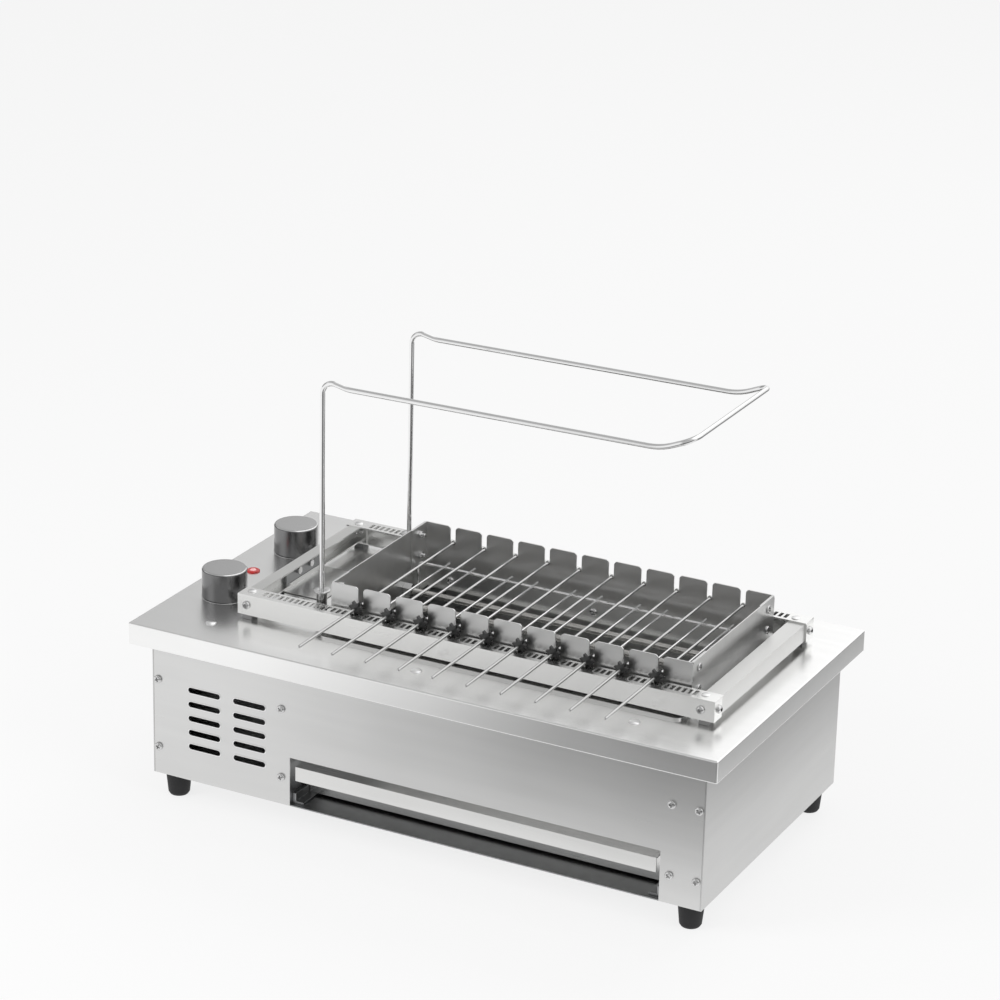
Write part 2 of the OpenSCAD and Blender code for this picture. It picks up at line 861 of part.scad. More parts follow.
// A slotted rail: the front one, with its web to the front and both ends closed
module slotted_rail() {
    half = [frame_left, frame_right];
    difference() {
        union() {
            translate([half[0], -frame_y, rail_z]) rotate([90, 0, 90]) {
                linear_extrude(frame_w) rail_section(rail_w, rail_h, rail_lip);
            }
            for (x = [half[0], half[1] - rail_t]) {
                translate([x, -frame_y, rail_z]) cube([rail_t, rail_w - rail_end_gap, rail_h]);
            }
        }
        for (i = [-slots_left:(skewer_n - 1) * slots_per_skewer + slots_right]) {
            translate([first_x + i * slot_pitch, -slot_y, rail_top - rail_t / 2]) {
                cube([slot_w, slot_l, rail_t + cut], center = true);
            }
        }
        for (x = bolt_xs) {
            bar_z([x, -rivet_y, rail_top - rail_t - cut], bolt_d + play, rail_t + 2 * cut);
            bar_y([x, -frame_y - cut, rail_z + rail_h / 2], bolt_d + play, rail_t + 2 * cut);
        }
        bar_x([frame_left - cut, -end_bolt_y, rail_z + rail_h / 2], bolt_d + play, frame_w + 2 * cut);
    }
}

module frame_front_rail() {
    color("whitesmoke") hearth() slotted_rail();
}

module frame_rear_rail() {
    color("whitesmoke") hearth() mirror([0, 1, 0]) slotted_rail();
}

// A cross rail that fits inside the ends of the slotted rails, web outwards
module cross_rail(rail, inset) {
    h = rail_h - 2 * rail_t;
    w = rail - rail_t;
    l = frame_d - 2 * rail_t;
    z = rail_z + rail_t;
    difference() {
        union() {
            translate([frame_left + rail_t, l / 2, z]) rotate([90, 0, 0]) {
                linear_extrude(l) rail_section(w, h, rail_lip - rail_t);
            }
            for (s = [-1, 1]) {
                translate([frame_left + rail_t, s * (l / 2 - rail_t / 2) - rail_t / 2, z]) cube([w, rail_t, h]);
            }
        }
        for (s = [-1, 1]) {
            bar_z([frame_left + inset, s * rivet_y, z + h - rail_t - cut], bolt_d + play, rail_t + 2 * cut);
            bar_y([frame_left + inset, s * (l / 2 - rail_t) - 2 * cut, rail_z + rail_h / 2],
                bolt_d + play, 4 * cut);
            bar_x([frame_left, s * end_bolt_y, rail_z + rail_h / 2], bolt_d + play, 2 * rail_t + cut);
        }
    }
}

// The left rail has no lower lip where the yoke comes down inside it
module frame_left_rail() {
    half = yoke_w / 2 + play;
    color("whitesmoke") hearth() difference() {
        cross_rail(left_rail_w, left_bolt_in);
        block([yoke_web_x, -half, rail_z], [frame_left + left_rail_w, half, rail_z + rail_h / 2]);
        for (s = [-1, 1]) {
            bar_x([frame_left, s * yoke_bolt_y, top_z + yoke_rise], bolt_d + play, 2 * rail_t + cut);
        }
    }
}

module frame_right_rail() {
    middle = frame_left + frame_w / 2;
    color("whitesmoke") hearth() translate([middle, 0, 0]) mirror([1, 0, 0]) translate([-middle, 0, 0]) {
        cross_rail(rail_w, right_bolt_in);
    }
}

// Socket-head screws in the faces and the ends of the slotted rails
module frame_bolts() {
    color("silver") hearth() {
        for (s = [-1, 1], x = bolt_xs) {
            translate([x, s * frame_y, rail_z + rail_h / 2]) rotate([-s * 90, 0, 0]) socket_bolt();
        }
        for (s = [-1, 1], e = [-1, 1]) {
            translate([e < 0 ? frame_left : frame_right, s * end_bolt_y, rail_z + rail_h / 2]) {
                rotate([0, e * 90, 0]) socket_bolt();
            }
        }
    }
}

// A socket-head screw along +Z, its seat at the origin
module socket_bolt() {
    difference() {
        cylinder(d = bolt_head_d, h = bolt_head_h);
        translate([0, 0, bolt_head_h / 2]) {
            cylinder(d = bolt_head_d * bolt_key_share, h = bolt_head_h, $fn = 6);
        }
    }
    translate([0, 0, -bolt_reach]) cylinder(d = bolt_d, h = bolt_reach);
}

module frame_rivets() {
    reach = 2 * rail_t + flat_end;
    color("silver") hearth() for (s = [-1, 1], x = bolt_xs) {
        translate([x, s * rivet_y, rail_top]) {
            cylinder(d1 = flat_d, d2 = flat_d * flat_top_share, h = flat_h);
            translate([0, 0, -reach]) cylinder(d = bolt_d, h = reach);
        }
    }
}

// Bracket on the left rail that reaches down through the plate, with the slot for the crank's roller
module drive_yoke() {
    slot_half = roller_d / 2 + crank_slip;
    travel = crank_r + roller_d / 2 + crank_spare;
    color("silver") hearth() difference() {
        union() {
            block([yoke_web_x, -yoke_w / 2, yoke_z], [yoke_web_x + yoke_t, yoke_w / 2, yoke_tab]);
            block([yoke_web_x, -yoke_w / 2, yoke_z], [yoke_web_x + yoke_reach, yoke_w / 2, yoke_z + yoke_t]);
        }
        translate([yoke_x, 0, yoke_z - cut]) {
            translate([-slot_half, -travel, 0]) cube([2 * slot_half, 2 * travel, yoke_t + 2 * cut]);
        }
        for (s = [-1, 1]) {
            bar_x([yoke_web_x - cut, s * yoke_bolt_y, top_z + yoke_rise], bolt_d + play, yoke_t + 2 * cut);
        }
    }
}

module yoke_bolts() {
    color("silver") hearth() for (s = [-1, 1]) {
        translate([yoke_web_x + yoke_t, s * yoke_bolt_y, top_z + yoke_rise]) rotate([0, 90, 0]) {
            cylinder(d = bolt_head_d, h = bolt_head_h, $fn = 6);
            translate([0, 0, -yoke_t - rail_t]) cylinder(d = bolt_d, h = yoke_t + rail_t);
        }
    }
}

// Plastic blocks under the corners, on which the frame slides along the plate
module glide_pads() {
    pad = [pad_w, pad_l, rail_gap];
    color([0.15, 0.15, 0.15]) hearth() for (x = [frame_left + pad.x, frame_right - pad.x], s = [-1, 1]) {
        translate([x - pad.x / 2, s * (frame_y - rail_lip / 2) - pad.y / 2, top_z]) cube(pad);
    }
}

module crank() {
    color("gray") hearth() translate([crank_x, 0, 0]) {
        sunk = disc_t / 2;
        bar_z([0, 0, disc_top - disc_t], 2 * crank_r + pin_d + disc_rim, disc_t);
        bar_z([0, 0, disc_top - disc_t - motor_gap + collar_gap], collar_d, motor_gap - collar_gap + sunk);
        bar_z([0, 0, bracket_z - bracket_t - motor_h / 2], shaft_d, motor_h / 2 + bracket_t + motor_gap + sunk);
        rotate([0, 0, -rest_angle]) {
            bar_z([0, crank_r, disc_top - sunk], pin_d, sunk + disc_gap + yoke_t + pin_top);
        }
    }
}

module crank_roller() {
    color("gold") hearth() translate([crank_x, 0, 0]) rotate([0, 0, -rest_angle]) difference() {
        bar_z([0, crank_r, disc_top + roller_foot], roller_d, disc_gap + yoke_t + roller_foot);
        bar_z([0, crank_r, disc_top], pin_d, disc_gap + yoke_t + pin_top);
    }
}

// Geared motor under the bracket, with two ears
module gearmotor() {
    top = bracket_z - bracket_t;
    color("gray") hearth() translate([crank_x, 0, 0]) difference() {
        union() {
            bar_z([0, 0, top - motor_h], motor_d, motor_h);
            translate([-ear_w / 2, -ear_l / 2, top - ear_t]) cube([ear_w, ear_l, ear_t]);
            bar_z([0, 0, top - motor_h - motor_cap_h], motor_d * motor_cap_share, motor_cap_h);
        }
        bar_z([0, 0, top - motor_h / 2 - play], shaft_d + 2 * run_fit, motor_h / 2 + play + cut);
        for (s = [-1, 1]) {
            bar_z([0, s * (ear_l / 2 - ear_in), top - ear_t - cut], bolt_d, ear_t + 2 * cut);
        }
    }
}

module motor_bracket() {
    w = bracket_w / 2;
    color("silver") hearth() translate([crank_x, 0, 0]) difference() {
        union() {
            block([-bracket_half, -w, bracket_z - bracket_t], [bracket_half, w, bracket_z]);
            for (s = [-1, 1]) {
                x = s * (bracket_half - bracket_t / 2);
                block([x - bracket_t / 2, -w, floor_z], [x + bracket_t / 2, w, bracket_z]);
                block([s < 0 ? -bracket_half : bracket_half - bracket_foot, -w, floor_z],
                    [s < 0 ? -bracket_half + bracket_foot : bracket_half, w, floor_z + bracket_t]);
            }
        }
        bar_z([0, 0, bracket_z - bracket_t - cut], bracket_hole, bracket_t + 2 * cut);
        for (s = [-1, 1]) {
            bar_z([0, s * (ear_l / 2 - ear_in), bracket_z - bracket_t - cut], bolt_d, bracket_t + 2 * cut);
        }
    }
}

// Knobs, controls, lamp and wiring

// A hollow knob with a boss on its shaft and a bright edge
module knob(y) {
    base = top_z + knob_gap;
    color([0.35, 0.35, 0.36]) home() translate([knob_x, y, base]) difference() {
        union() {
            difference() {
                union() {
                    cylinder(d = knob_d, h = knob_h - knob_edge);
                    translate([0, 0, knob_h - knob_edge]) {
                        cylinder(d1 = knob_d, d2 = knob_d - 2 * knob_edge, h = knob_edge);
                    }
                }
                translate([0, 0, -cut]) cylinder(d = knob_d - 2 * knob_wall, h = knob_h - knob_wall + cut);
            }
            cylinder(d = boss_d, h = knob_h - knob_wall / 2);
        }
        translate([0, 0, -cut]) cylinder(d = bush_d + 2 * bush_room, h = bush_h + cut);
        cylinder(d = control_d, h = knob_h - 2 * knob_wall);
        translate([knob_d / 2 - dot_in, 0, knob_h - dot_deep]) cylinder(d = dot_d, h = cut);
    }
}

module knob_front() {
    knob(-knob_y);
}

module knob_rear() {
    knob(knob_y);
}

// A control's shaft, from inside its body up into the knob
module control_shaft(y) {
    sunk = control_h / 2;
    color("silver") home() {
        bar_z([knob_x, y, under_z - sunk], control_d, sunk + plate_t + knob_gap + knob_h - 2 * knob_wall);
    }
}

module switch_shaft() {
    control_shaft(-knob_y);
}

module thermostat_shaft() {
    control_shaft(knob_y);
}

// A control under the plate: its body, the bush through the plate and its terminals
module control_body(y, w, tone) {
    color(tone) home() translate([knob_x, y, 0]) difference() {
        union() {
            block([-w / 2, -w / 2, under_z - control_h], [w / 2, w / 2, under_z]);
            bar_z([0, 0, under_z], bush_d, plate_t + bush_h - knob_gap);
            for (s = [-1, 1]) {
                block([s * w / 4 - tag_half, -tag_half_t, under_z - control_h - tag_l],
                    [s * w / 4 + tag_half, tag_half_t, under_z - control_h]);
            }
        }
        bar_z([0, 0, under_z - control_h / 2 - control_sunk], control_d + 2 * run_fit,
            control_h + bush_h + cut);
    }
}

module motor_switch() {
    control_body(-knob_y, control_w * switch_share, [0.2, 0.2, 0.2]);
}

module thermostat() {
    control_body(knob_y, control_w, "whitesmoke");
}

module lamp_bezel() {
    color("whitesmoke") home() translate([lamp_x, 0, 0]) difference() {
        union() {
            bar_z([0, 0, top_z], lamp_d, lamp_rim_h);
            bar_z([0, 0, top_z - lamp_l], lamp_hole, lamp_l);
        }
        bar_z([0, 0, top_z - lens_sunk], lens_d, lens_sunk + lamp_rim_h + cut);
    }
}

module lamp_lens() {
    color("red") home() translate([lamp_x, 0, 0]) {
        bar_z([0, 0, top_z - lens_sunk], lens_d - play, lens_sunk + lens_rise);
        translate([0, 0, top_z + lens_rise]) cylinder(d1 = lens_d - play, d2 = lens_top_d, h = lens_top_h);
    }
}

// Gland for the supply cord in the rear panel, with its nut inside
module cable_gland() {
    outside = gland_l * gland_out_share;
    color([0.1, 0.1, 0.1]) home() translate([gland_x, case_y, gland_z]) rotate([-90, 0, 0]) difference() {
        union() {
            translate([0, 0, outside - gland_l]) cylinder(d = gland_d, h = gland_l - gland_end);
            cylinder(d = gland_hex, h = gland_nut, $fn = 6);
            translate([0, 0, gland_nut]) cylinder(d1 = gland_cap_d, d2 = gland_tip_d, h = outside - gland_nut);
            translate([0, 0, -sheet_t - gland_nut]) cylinder(d = gland_hex, h = gland_nut, $fn = 6);
        }
        translate([0, 0, outside - gland_l - cut]) cylinder(d = gland_bore, h = gland_l + 2 * cut);
    }
}

module terminal_block() {
    way = block_l / block_ways;
    color("ivory") home() translate([block_x, block_y, floor_z]) difference() {
        translate([-block_l / 2, -block_w / 2, 0]) cube([block_l, block_w, block_h]);
        for (i = [0:block_ways - 1], s = [-1, 1]) {
            bar_z([(i - (block_ways - 1) / 2) * way, s * block_w / 4, block_h / 2],
                way * block_hole_share, block_h);
        }
        for (i = [1:block_ways - 1]) {
            x = (i - block_ways / 2) * way - block_fence / 2;
            translate([x, -block_w / 2 - cut, block_h * block_fence_share]) {
                cube([block_fence, block_w + 2 * cut, block_h]);
            }
        }
    }
}

// Skewers

// Star wheel in X and Z, with one point straight down
module star() {
    root_r = wheel_r * wheel_root_share;
    half_step = 180 / wheel_teeth;
    tip = atan(tooth_tip_w / 2 / wheel_r);
    polygon([
        for (i = [0:wheel_teeth - 1], j = [0:2])
            let (a = -90 + i * 2 * half_step + [-tip, tip, half_step][j], r = j < 2 ? wheel_r : root_r)
            [r * cos(a), r * sin(a)]
    ]);
}

module skewer(i) {
    front = -plate_d / 2 - overhang - fire_back;
    back = fire_y + skewer_back;
    r = skewer_d / 2;
    color("whitesmoke") hearth() translate([first_x + (i - 1) * skewer_pitch, 0, axle_z]) {
        rotate([-90, 0, 0]) rotate_extrude() {
            polygon([[0, front], [r, front], [r, back], [r * skewer_tip_share, back + skewer_tip],
                [0, back + skewer_tip]]);
        }
        bar_y([0, fire_y + play, 0], skewer_d + 2 * ring_rim, ring_w);
        upright(-wheel_y + wheel_w / 2, wheel_w) star();
        bar_y([0, -fire_y - hub_w - play, 0], hub_d, hub_w);
    }
}

// Rack and its sockets

module rack_sockets() {
    bottom = top_z - socket_sunk;
    color("silver") hearth() for (s = [-1, 1]) translate([rack_x, s * rack_y, 0]) difference() {
        union() {
            bar_z([0, 0, bottom], socket_d, socket_sunk + socket_h);
            translate([0, 0, under_z - socket_nut]) {
                cylinder(d = socket_d + 2 * socket_nut_wall, h = socket_nut, $fn = 6);
            }
            bar_z([0, 0, top_z], socket_d + 2 * socket_collar, socket_collar_h);
        }
        bar_z([0, 0, bottom + socket_floor], wire_d + 2 * wire_fit, socket_sunk + socket_h);
    }
}

module socket_washers() {
    color("whitesmoke") hearth() for (s = [-1, 1]) translate([rack_x, s * rack_y, top_z + socket_h]) {
        difference() {
            cylinder(d = washer_d, h = washer_t);
            translate([0, 0, -cut]) cylinder(d = wire_d + 2 * wire_fit, h = washer_t + 2 * cut);
        }
    }
}

// Wire rack: legs, an arch over each one, side wires that rise at the far end, and a cross bar
module wire_rack() {
    foot = top_z - socket_sunk + socket_floor;
    lead = arch_turn - 90 + side_slope;
    leg = top_z + rack_h - foot - arch_r + arch_rise;
    side = [
        ["run", leg], ["roll", 180], ["bend", arch_turn, arch_r], ["run", arch_dip],
        ["roll", 180], ["bend", lead, lead_r], ["run", rack_run],
        ["bend", tip_lift, tip_r], ["run", tip_run], ["roll", -90], ["bend", 90, corner_r]
    ];
    bar = [["run", 2 * (rack_y - corner_r)]];
    color("whitesmoke") hearth() for (m = [0, 1]) mirror([0, m, 0]) {
        translate([rack_x, -rack_y, foot]) {
            wire(wire_d, m == 0 ? concat(side, bar, [["roll", 0]]) : side);
        }
    }
}

// Drawer

// A tray with a front edge that turns out and down as the pull
module drip_drawer() {
    top = tray_z + tray_h;
    back = tray_front + tray_d;
    lip = tray_front - lip_reach;
    color("gainsboro") home() {
        difference() {
            block([tray_left, tray_front, tray_z], [tray_right, back, top]);
            block([tray_left + tray_t, tray_front + tray_t, tray_z + tray_t],
                [tray_right - tray_t, back - tray_t, top + cut]);
        }
        block([tray_left, lip, top - tray_t], [tray_right, tray_front + tray_t, top]);
        block([tray_left, lip, top - lip_h], [tray_right, lip + tray_t, top]);
    }
}

// Angles on the base: the tray slides on their feet and between their legs
module drawer_guides() {
    ends = case_y - guide_in;
    color("silver") home() for (s = [-1, 1]) {
        wall = s < 0 ? part_left : part_right - guide_leg;
        foot = s < 0 ? part_left : part_right - guide_w;
        block([foot, -ends, floor_z], [foot + guide_w, ends, tray_z]);
        block([wall, -ends, floor_z], [wall + guide_leg, ends, tray_z + guide_h]);
    }
}

top_plate();
base_pan();
left_side();
right_side();
front_panel();
rear_panel();
left_partition();
right_partition();
fire_well();
firebox_front();
firebox_rear();
firebox_left();
firebox_right();
firebox_screws();
well_screws();
heating_element();
element_bends();
element_fittings();
grill_net();
rack_sockets();
socket_washers();
knob_front();
knob_rear();
switch_shaft();
thermostat_shaft();
motor_switch();
thermostat();
lamp_bezel();
lamp_lens();
gearmotor();
motor_bracket();
crank();
crank_roller();
frame_front_rail();
frame_rear_rail();
frame_left_rail();
frame_right_rail();
frame_bolts();
frame_rivets();
drive_yoke();
yoke_bolts();
glide_pads();
skewer(1);  // skewer_01
skewer(2);  // skewer_02
skewer(3);  // skewer_03
skewer(4);  // skewer_04
skewer(5);  // skewer_05
skewer(6);  // skewer_06
skewer(7);  // skewer_07
skewer(8);  // skewer_08
skewer(9);  // skewer_09
skewer(10);  // skewer_10
drip_drawer();
drawer_guides();
rubber_feet();
case_screws();
plate_rivets();
cable_gland();
terminal_block();
wire_rack();
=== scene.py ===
"""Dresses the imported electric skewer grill: finishes, rolled edges, screws, wires and the studio.

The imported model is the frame. Each piece made here rides on one of its bodies, in metres and in
the same coordinates: +X is right, -Y is the front with the drawer, +Z is up.
"""

from __future__ import annotations

import json
import logging
import math
from dataclasses import dataclass
from enum import Enum
from typing import Any, Iterable, Sequence

import bmesh
import bpy
from mathutils import Matrix, Vector

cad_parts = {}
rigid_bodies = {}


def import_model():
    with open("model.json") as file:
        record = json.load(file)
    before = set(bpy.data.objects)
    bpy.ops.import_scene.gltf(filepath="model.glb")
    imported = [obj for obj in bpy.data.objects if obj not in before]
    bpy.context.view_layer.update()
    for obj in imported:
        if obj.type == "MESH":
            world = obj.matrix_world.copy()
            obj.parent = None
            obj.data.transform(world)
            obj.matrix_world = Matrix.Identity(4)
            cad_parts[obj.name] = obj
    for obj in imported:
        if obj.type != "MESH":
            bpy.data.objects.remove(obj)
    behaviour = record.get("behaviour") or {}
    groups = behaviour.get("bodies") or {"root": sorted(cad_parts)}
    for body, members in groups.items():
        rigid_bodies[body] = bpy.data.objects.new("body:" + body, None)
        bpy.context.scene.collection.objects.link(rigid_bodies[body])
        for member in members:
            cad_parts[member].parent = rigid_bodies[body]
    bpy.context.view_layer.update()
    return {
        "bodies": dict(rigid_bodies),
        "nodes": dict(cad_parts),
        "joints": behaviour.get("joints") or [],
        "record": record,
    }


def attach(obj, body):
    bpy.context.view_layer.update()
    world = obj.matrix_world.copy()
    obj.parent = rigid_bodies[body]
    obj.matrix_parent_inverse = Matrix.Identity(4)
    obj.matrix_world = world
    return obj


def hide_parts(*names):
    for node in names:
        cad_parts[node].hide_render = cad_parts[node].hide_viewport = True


LOG = logging.getLogger("skewer_grill")
MM = 0.001
IN_MM = Matrix.Diagonal((MM, MM, MM, 1.0))
SIDES = (-1, 1)
Point = tuple[float, float, float]
Pair = tuple[float, float]
Outline = Sequence[Pair]


def mm(*at: float) -> Vector:
    """A place given in millimetres."""
    return Vector(at) * MM


class Direction(Enum):
    """A way along one of the part's axes."""

    RIGHT = (1.0, 0.0, 0.0)
    LEFT = (-1.0, 0.0, 0.0)
    BACK = (0.0, 1.0, 0.0)
    FRONT = (0.0, -1.0, 0.0)
    UP = (0.0, 0.0, 1.0)
    DOWN = (0.0, 0.0, -1.0)

    @property
    def vector(self) -> Vector:
        """The direction as a vector."""
        return Vector(self.value)


class Grain(Enum):
    """Which way the brushed lines of a sheet run, as streaks to the metre along X, Y and Z."""

    ALONG_X = (6.0, 1500.0, 1500.0)
    ALONG_Y = (1500.0, 6.0, 1500.0)
    ALONG_Z = (1500.0, 1500.0, 6.0)
    NONE = (260.0, 260.0, 260.0)


# Node trees


class Graph:
    """Adds nodes to one tree."""

    def __init__(self, tree: bpy.types.NodeTree) -> None:
        """Keeps the tree."""
        self.tree = tree

    def node(
        self, kind: str, settings: dict[str, Any] | None = None, sockets: dict[Any, Any] | None = None,
        output: int | str = 0,
    ) -> Value:
        """Adds one node.

        Args:
            kind: The node's type.
            settings: The node's own settings, set before its sockets.
            sockets: A value, a link or a list of links by socket name or number.
            output: The output that is asked for.

        Returns:
            That output, which is empty on a node without any.
        """
        made = self.tree.nodes.new(kind)
        for name, value in (settings or {}).items():
            setattr(made, name, value)
        for key, given in (sockets or {}).items():
            for value in given if isinstance(given, list) else [given]:
                if isinstance(value, Value):
                    self.tree.links.new(value.socket, made.inputs[key])
                else:
                    made.inputs[key].default_value = value
        return Value(self, made.outputs[output] if len(made.outputs) else None)

    def maths(self, operation: str, *terms: Any) -> Value:
        """A Math node on its terms."""
        return self.node("ShaderNodeMath", {"operation": operation}, dict(enumerate(terms)))


class Value:
    """The output of a node, which takes part in arithmetic."""

    def __init__(self, graph: Graph, socket: Any) -> None:
        """Keeps the output and the tree that it belongs to."""
        self.graph = graph
        self.socket = socket

    def __add__(self, other: Any) -> Value:
        """Sum."""
        return self.graph.maths("ADD", self, other)

    def __sub__(self, other: Any) -> Value:
        """Difference."""
        return self.graph.maths("SUBTRACT", self, other)

    def __rsub__(self, other: Any) -> Value:
        """Difference from a number."""
        return self.graph.maths("SUBTRACT", other, self)

    def __mul__(self, other: Any) -> Value:
        """Product."""
        return self.graph.maths("MULTIPLY", self, other)

    __radd__ = __add__
    __rmul__ = __mul__

    def at_most(self, other: Any) -> Value:
        """The smaller of the two."""
        return self.graph.maths("MINIMUM", self, other)

    def eased(self, low: float, high: float) -> Value:
        """0 below low and 1 above high, with a smooth step between."""
        sockets = {"Value": self, "From Min": low, "From Max": high}
        return self.graph.node("ShaderNodeMapRange", {"interpolation_type": "SMOOTHSTEP"}, sockets)


class Paint(Graph):
    """Adds nodes to one shader tree."""

    def __init__(self, owner: bpy.types.Material | bpy.types.World) -> None:
        """Starts on the emptied tree of a material or a world."""
        owner.use_nodes = True
        super().__init__(owner.node_tree)
        self.tree.nodes.clear()

    def vectors(self, operation: str, *terms: Any, output: int | str = 0) -> Value:
        """A Vector Math node on its terms."""
        return self.node("ShaderNodeVectorMath", {"operation": operation}, dict(enumerate(terms)), output)

    def place(self, scale: Point = (1.0, 1.0, 1.0), centre: Point = (0.0, 0.0, 0.0)) -> Value:
        """Object coordinates about a centre, stretched along each axis."""
        spot = self.node("ShaderNodeTexCoord", output="Object")
        return self.vectors("MULTIPLY", self.vectors("SUBTRACT", spot, centre), scale)

    def along(self, axis: str) -> Value:
        """One of the Object coordinates."""
        return self.node("ShaderNodeSeparateXYZ", None, {0: self.place()}, axis)

    def noise(self, vector: Value, scale: float = 1.0, detail: float = 2.0) -> Value:
        """A noise from 0 to 1 over a vector."""
        return self.node("ShaderNodeTexNoise", None, {"Vector": vector, "Scale": scale, "Detail": detail})

    def bump(self, height: Value, strength: float, reach: float) -> Value:
        """A normal raised by a height."""
        sockets = {"Height": height, "Strength": strength, "Distance": reach}
        return self.node("ShaderNodeBump", None, sockets)

    def emitted(self, kind: str, tone: float, strength: Any = 1.0) -> Value:
        """A plain shader of a grey tone: a background or an emission."""
        return self.node(kind, None, {"Color": (tone, tone, tone, 1.0), "Strength": strength})

    def mixed(self, share: Any, low: Value, high: Value) -> Value:
        """A shader between two others."""
        return self.node("ShaderNodeMixShader", None, {0: share, 1: low, 2: high})

    def ray(self, kind: str) -> Value:
        """1 for a ray of one kind."""
        return self.node("ShaderNodeLightPath", output=kind)

    def seen(self) -> Value:
        """1 for a ray from the camera, or one that metal or glass shows."""
        others = self.ray("Is Glossy Ray") + self.ray("Is Transmission Ray")
        return (self.ray("Is Camera Ray") + others).at_most(1.0)


# Finishes. Patterns are in features to the metre, and their relief is in metres.

SHEET_CLOUDS = (9.0, 9.0, 9.0)
BROAD_STREAKS = 90.0
LATHE_RINGS = 2600.0
LATHE_CLOUDS = (60.0, 60.0, 60.0)
WEAR_SHARE = 0.05
GLASS_FLECKS = 400.0
SHEET_RELIEF, LATHE_RELIEF, MOULD_RELIEF = 0.02 * MM, 0.03 * MM, 0.05 * MM


@dataclass(frozen=True)
class Finish:
    """A named material.

    Attributes:
        name: The finish's name.
        colour: Its colour, or a metal's reflectance.
        rough: Its mean roughness.
    """

    name: str
    colour: Point
    rough: float

    def material(self) -> bpy.types.Material:
        """Builds the finish around one Principled shader."""
        material = bpy.data.materials.new(self.name)
        paint = Paint(material)
        shader = paint.node("ShaderNodeBsdfPrincipled", None, self.sockets(paint))
        paint.node("ShaderNodeOutputMaterial", None, {"Surface": shader})
        return material

    def sockets(self, paint: Paint) -> dict[str, Any]:
        """What feeds the shader."""
        raise NotImplementedError

    def tones(self, paint: Paint, share: Value, spread: float) -> Value:
        """The colour, darker and lighter by a share of it."""
        ends = [(*(min(1.0, c * k) for c in self.colour), 1.0) for k in (1.0 - spread, 1.0 + spread)]
        return paint.node("ShaderNodeMix", {"data_type": "RGBA"}, {0: share, 6: ends[0], 7: ends[1]}, 2)


@dataclass(frozen=True)
class BrushedSteel(Finish):
    """Rolled or brushed sheet: long fine streaks with a little cloud in the tone.

    Attributes:
        grain: The way of its streaks.
        depth: How strongly the streaks stand out.
        spread: How far its roughness varies.
        cloud: How far its tone varies over a hand's breadth.
    """

    grain: Grain
    depth: float
    spread: float
    cloud: float

    def sockets(self, paint: Paint) -> dict[str, Any]:
        """What feeds the shader."""
        streaks = paint.noise(paint.place(self.grain.value), detail=3.0)
        broad = paint.noise(paint.place(tuple(min(v, BROAD_STREAKS) for v in self.grain.value)), detail=1.0)
        clouds = paint.noise(paint.place(SHEET_CLOUDS), detail=2.0)
        varied = self.rough + self.spread * (streaks - 0.5)
        return {
            "Base Color": self.tones(paint, (0.6 * clouds + 0.4 * broad).eased(0.3, 0.7), self.cloud),
            "Metallic": 1.0,
            "Roughness": varied + 0.5 * self.spread * (clouds - 0.5),
            "Normal": paint.bump(streaks, self.depth, SHEET_RELIEF),
        }


@dataclass(frozen=True)
class TurnedMetal(Finish):
    """Metal with rings from the lathe about an upright axis.

    Attributes:
        centre: Where its axis stands.
        depth: How strongly the rings stand out.
    """

    centre: Point
    depth: float

    def sockets(self, paint: Paint) -> dict[str, Any]:
        """What feeds the shader."""
        reach = paint.vectors("LENGTH", paint.place((1.0, 1.0, 0.0), self.centre), output="Value")
        rings = {"X": reach * LATHE_RINGS, "Y": paint.along("Z") * LATHE_RINGS}
        marks = paint.noise(paint.node("ShaderNodeCombineXYZ", None, rings), detail=2.0)
        clouds = paint.noise(paint.place(LATHE_CLOUDS, self.centre))
        return {
            "Base Color": self.tones(paint, marks, 0.12),
            "Metallic": 1.0,
            "Roughness": self.rough + 0.10 * (marks - 0.5) + 0.06 * (clouds - 0.5),
            "Normal": paint.bump(marks, self.depth, LATHE_RELIEF),
        }


@dataclass(frozen=True)
class Moulded(Finish):
    """Rubber, plastic, ceramic or paint: no metal, with a fine texture.

    Attributes:
        texture: Grains of its texture to the metre.
        depth: How strongly the texture stands out.
        coat: The weight of a clear layer.
    """

    texture: float
    depth: float
    coat: float = 0.0

    def sockets(self, paint: Paint) -> dict[str, Any]:
        """What feeds the shader."""
        grains = paint.noise(paint.place(), self.texture, 3.0)
        wear = paint.noise(paint.place(), self.texture * WEAR_SHARE, 2.0)
        return {
            "Base Color": self.tones(paint, wear, 0.15),
            "Roughness": self.rough + 0.12 * (grains - 0.5),
            "Coat Weight": self.coat,
            "Normal": paint.bump(grains, self.depth, MOULD_RELIEF),
        }


@dataclass(frozen=True)
class RedLens(Finish):
    """Red lamp glass whose pale colour and glow are a painted highlight on its dome."""

    highlight_glow: float = 0.25

    def sockets(self, paint: Paint) -> dict[str, Any]:
        """What feeds the shader."""
        return {
            "Base Color": self.tones(paint, paint.noise(paint.place(), GLASS_FLECKS), 0.2),
            "Roughness": self.rough,
            "Coat Weight": 0.6,
            "Emission Color": (*self.colour, 1.0),
            "Emission Strength": self.highlight_glow,
        }


# Mesh making. Lengths are in metres and angles in radians.

WELD = 2e-6
SLIVER = 1e-6
SAME_FACE = math.radians(0.4)
EDGE_ANGLE = math.radians(32.0)
STRAIGHT_HALF = 1.55


def linked(name: str, data: bpy.types.ID) -> bpy.types.Object:
    """A new object for a mesh, a camera or a lamp, in the scene."""
    made = bpy.data.objects.new(name, data)
    bpy.context.scene.collection.objects.link(made)
    return made


def dropped(*hosts: bpy.types.Object) -> None:
    """Removes objects that have served."""
    for host in hosts:
        bpy.data.objects.remove(host, do_unlink=True)


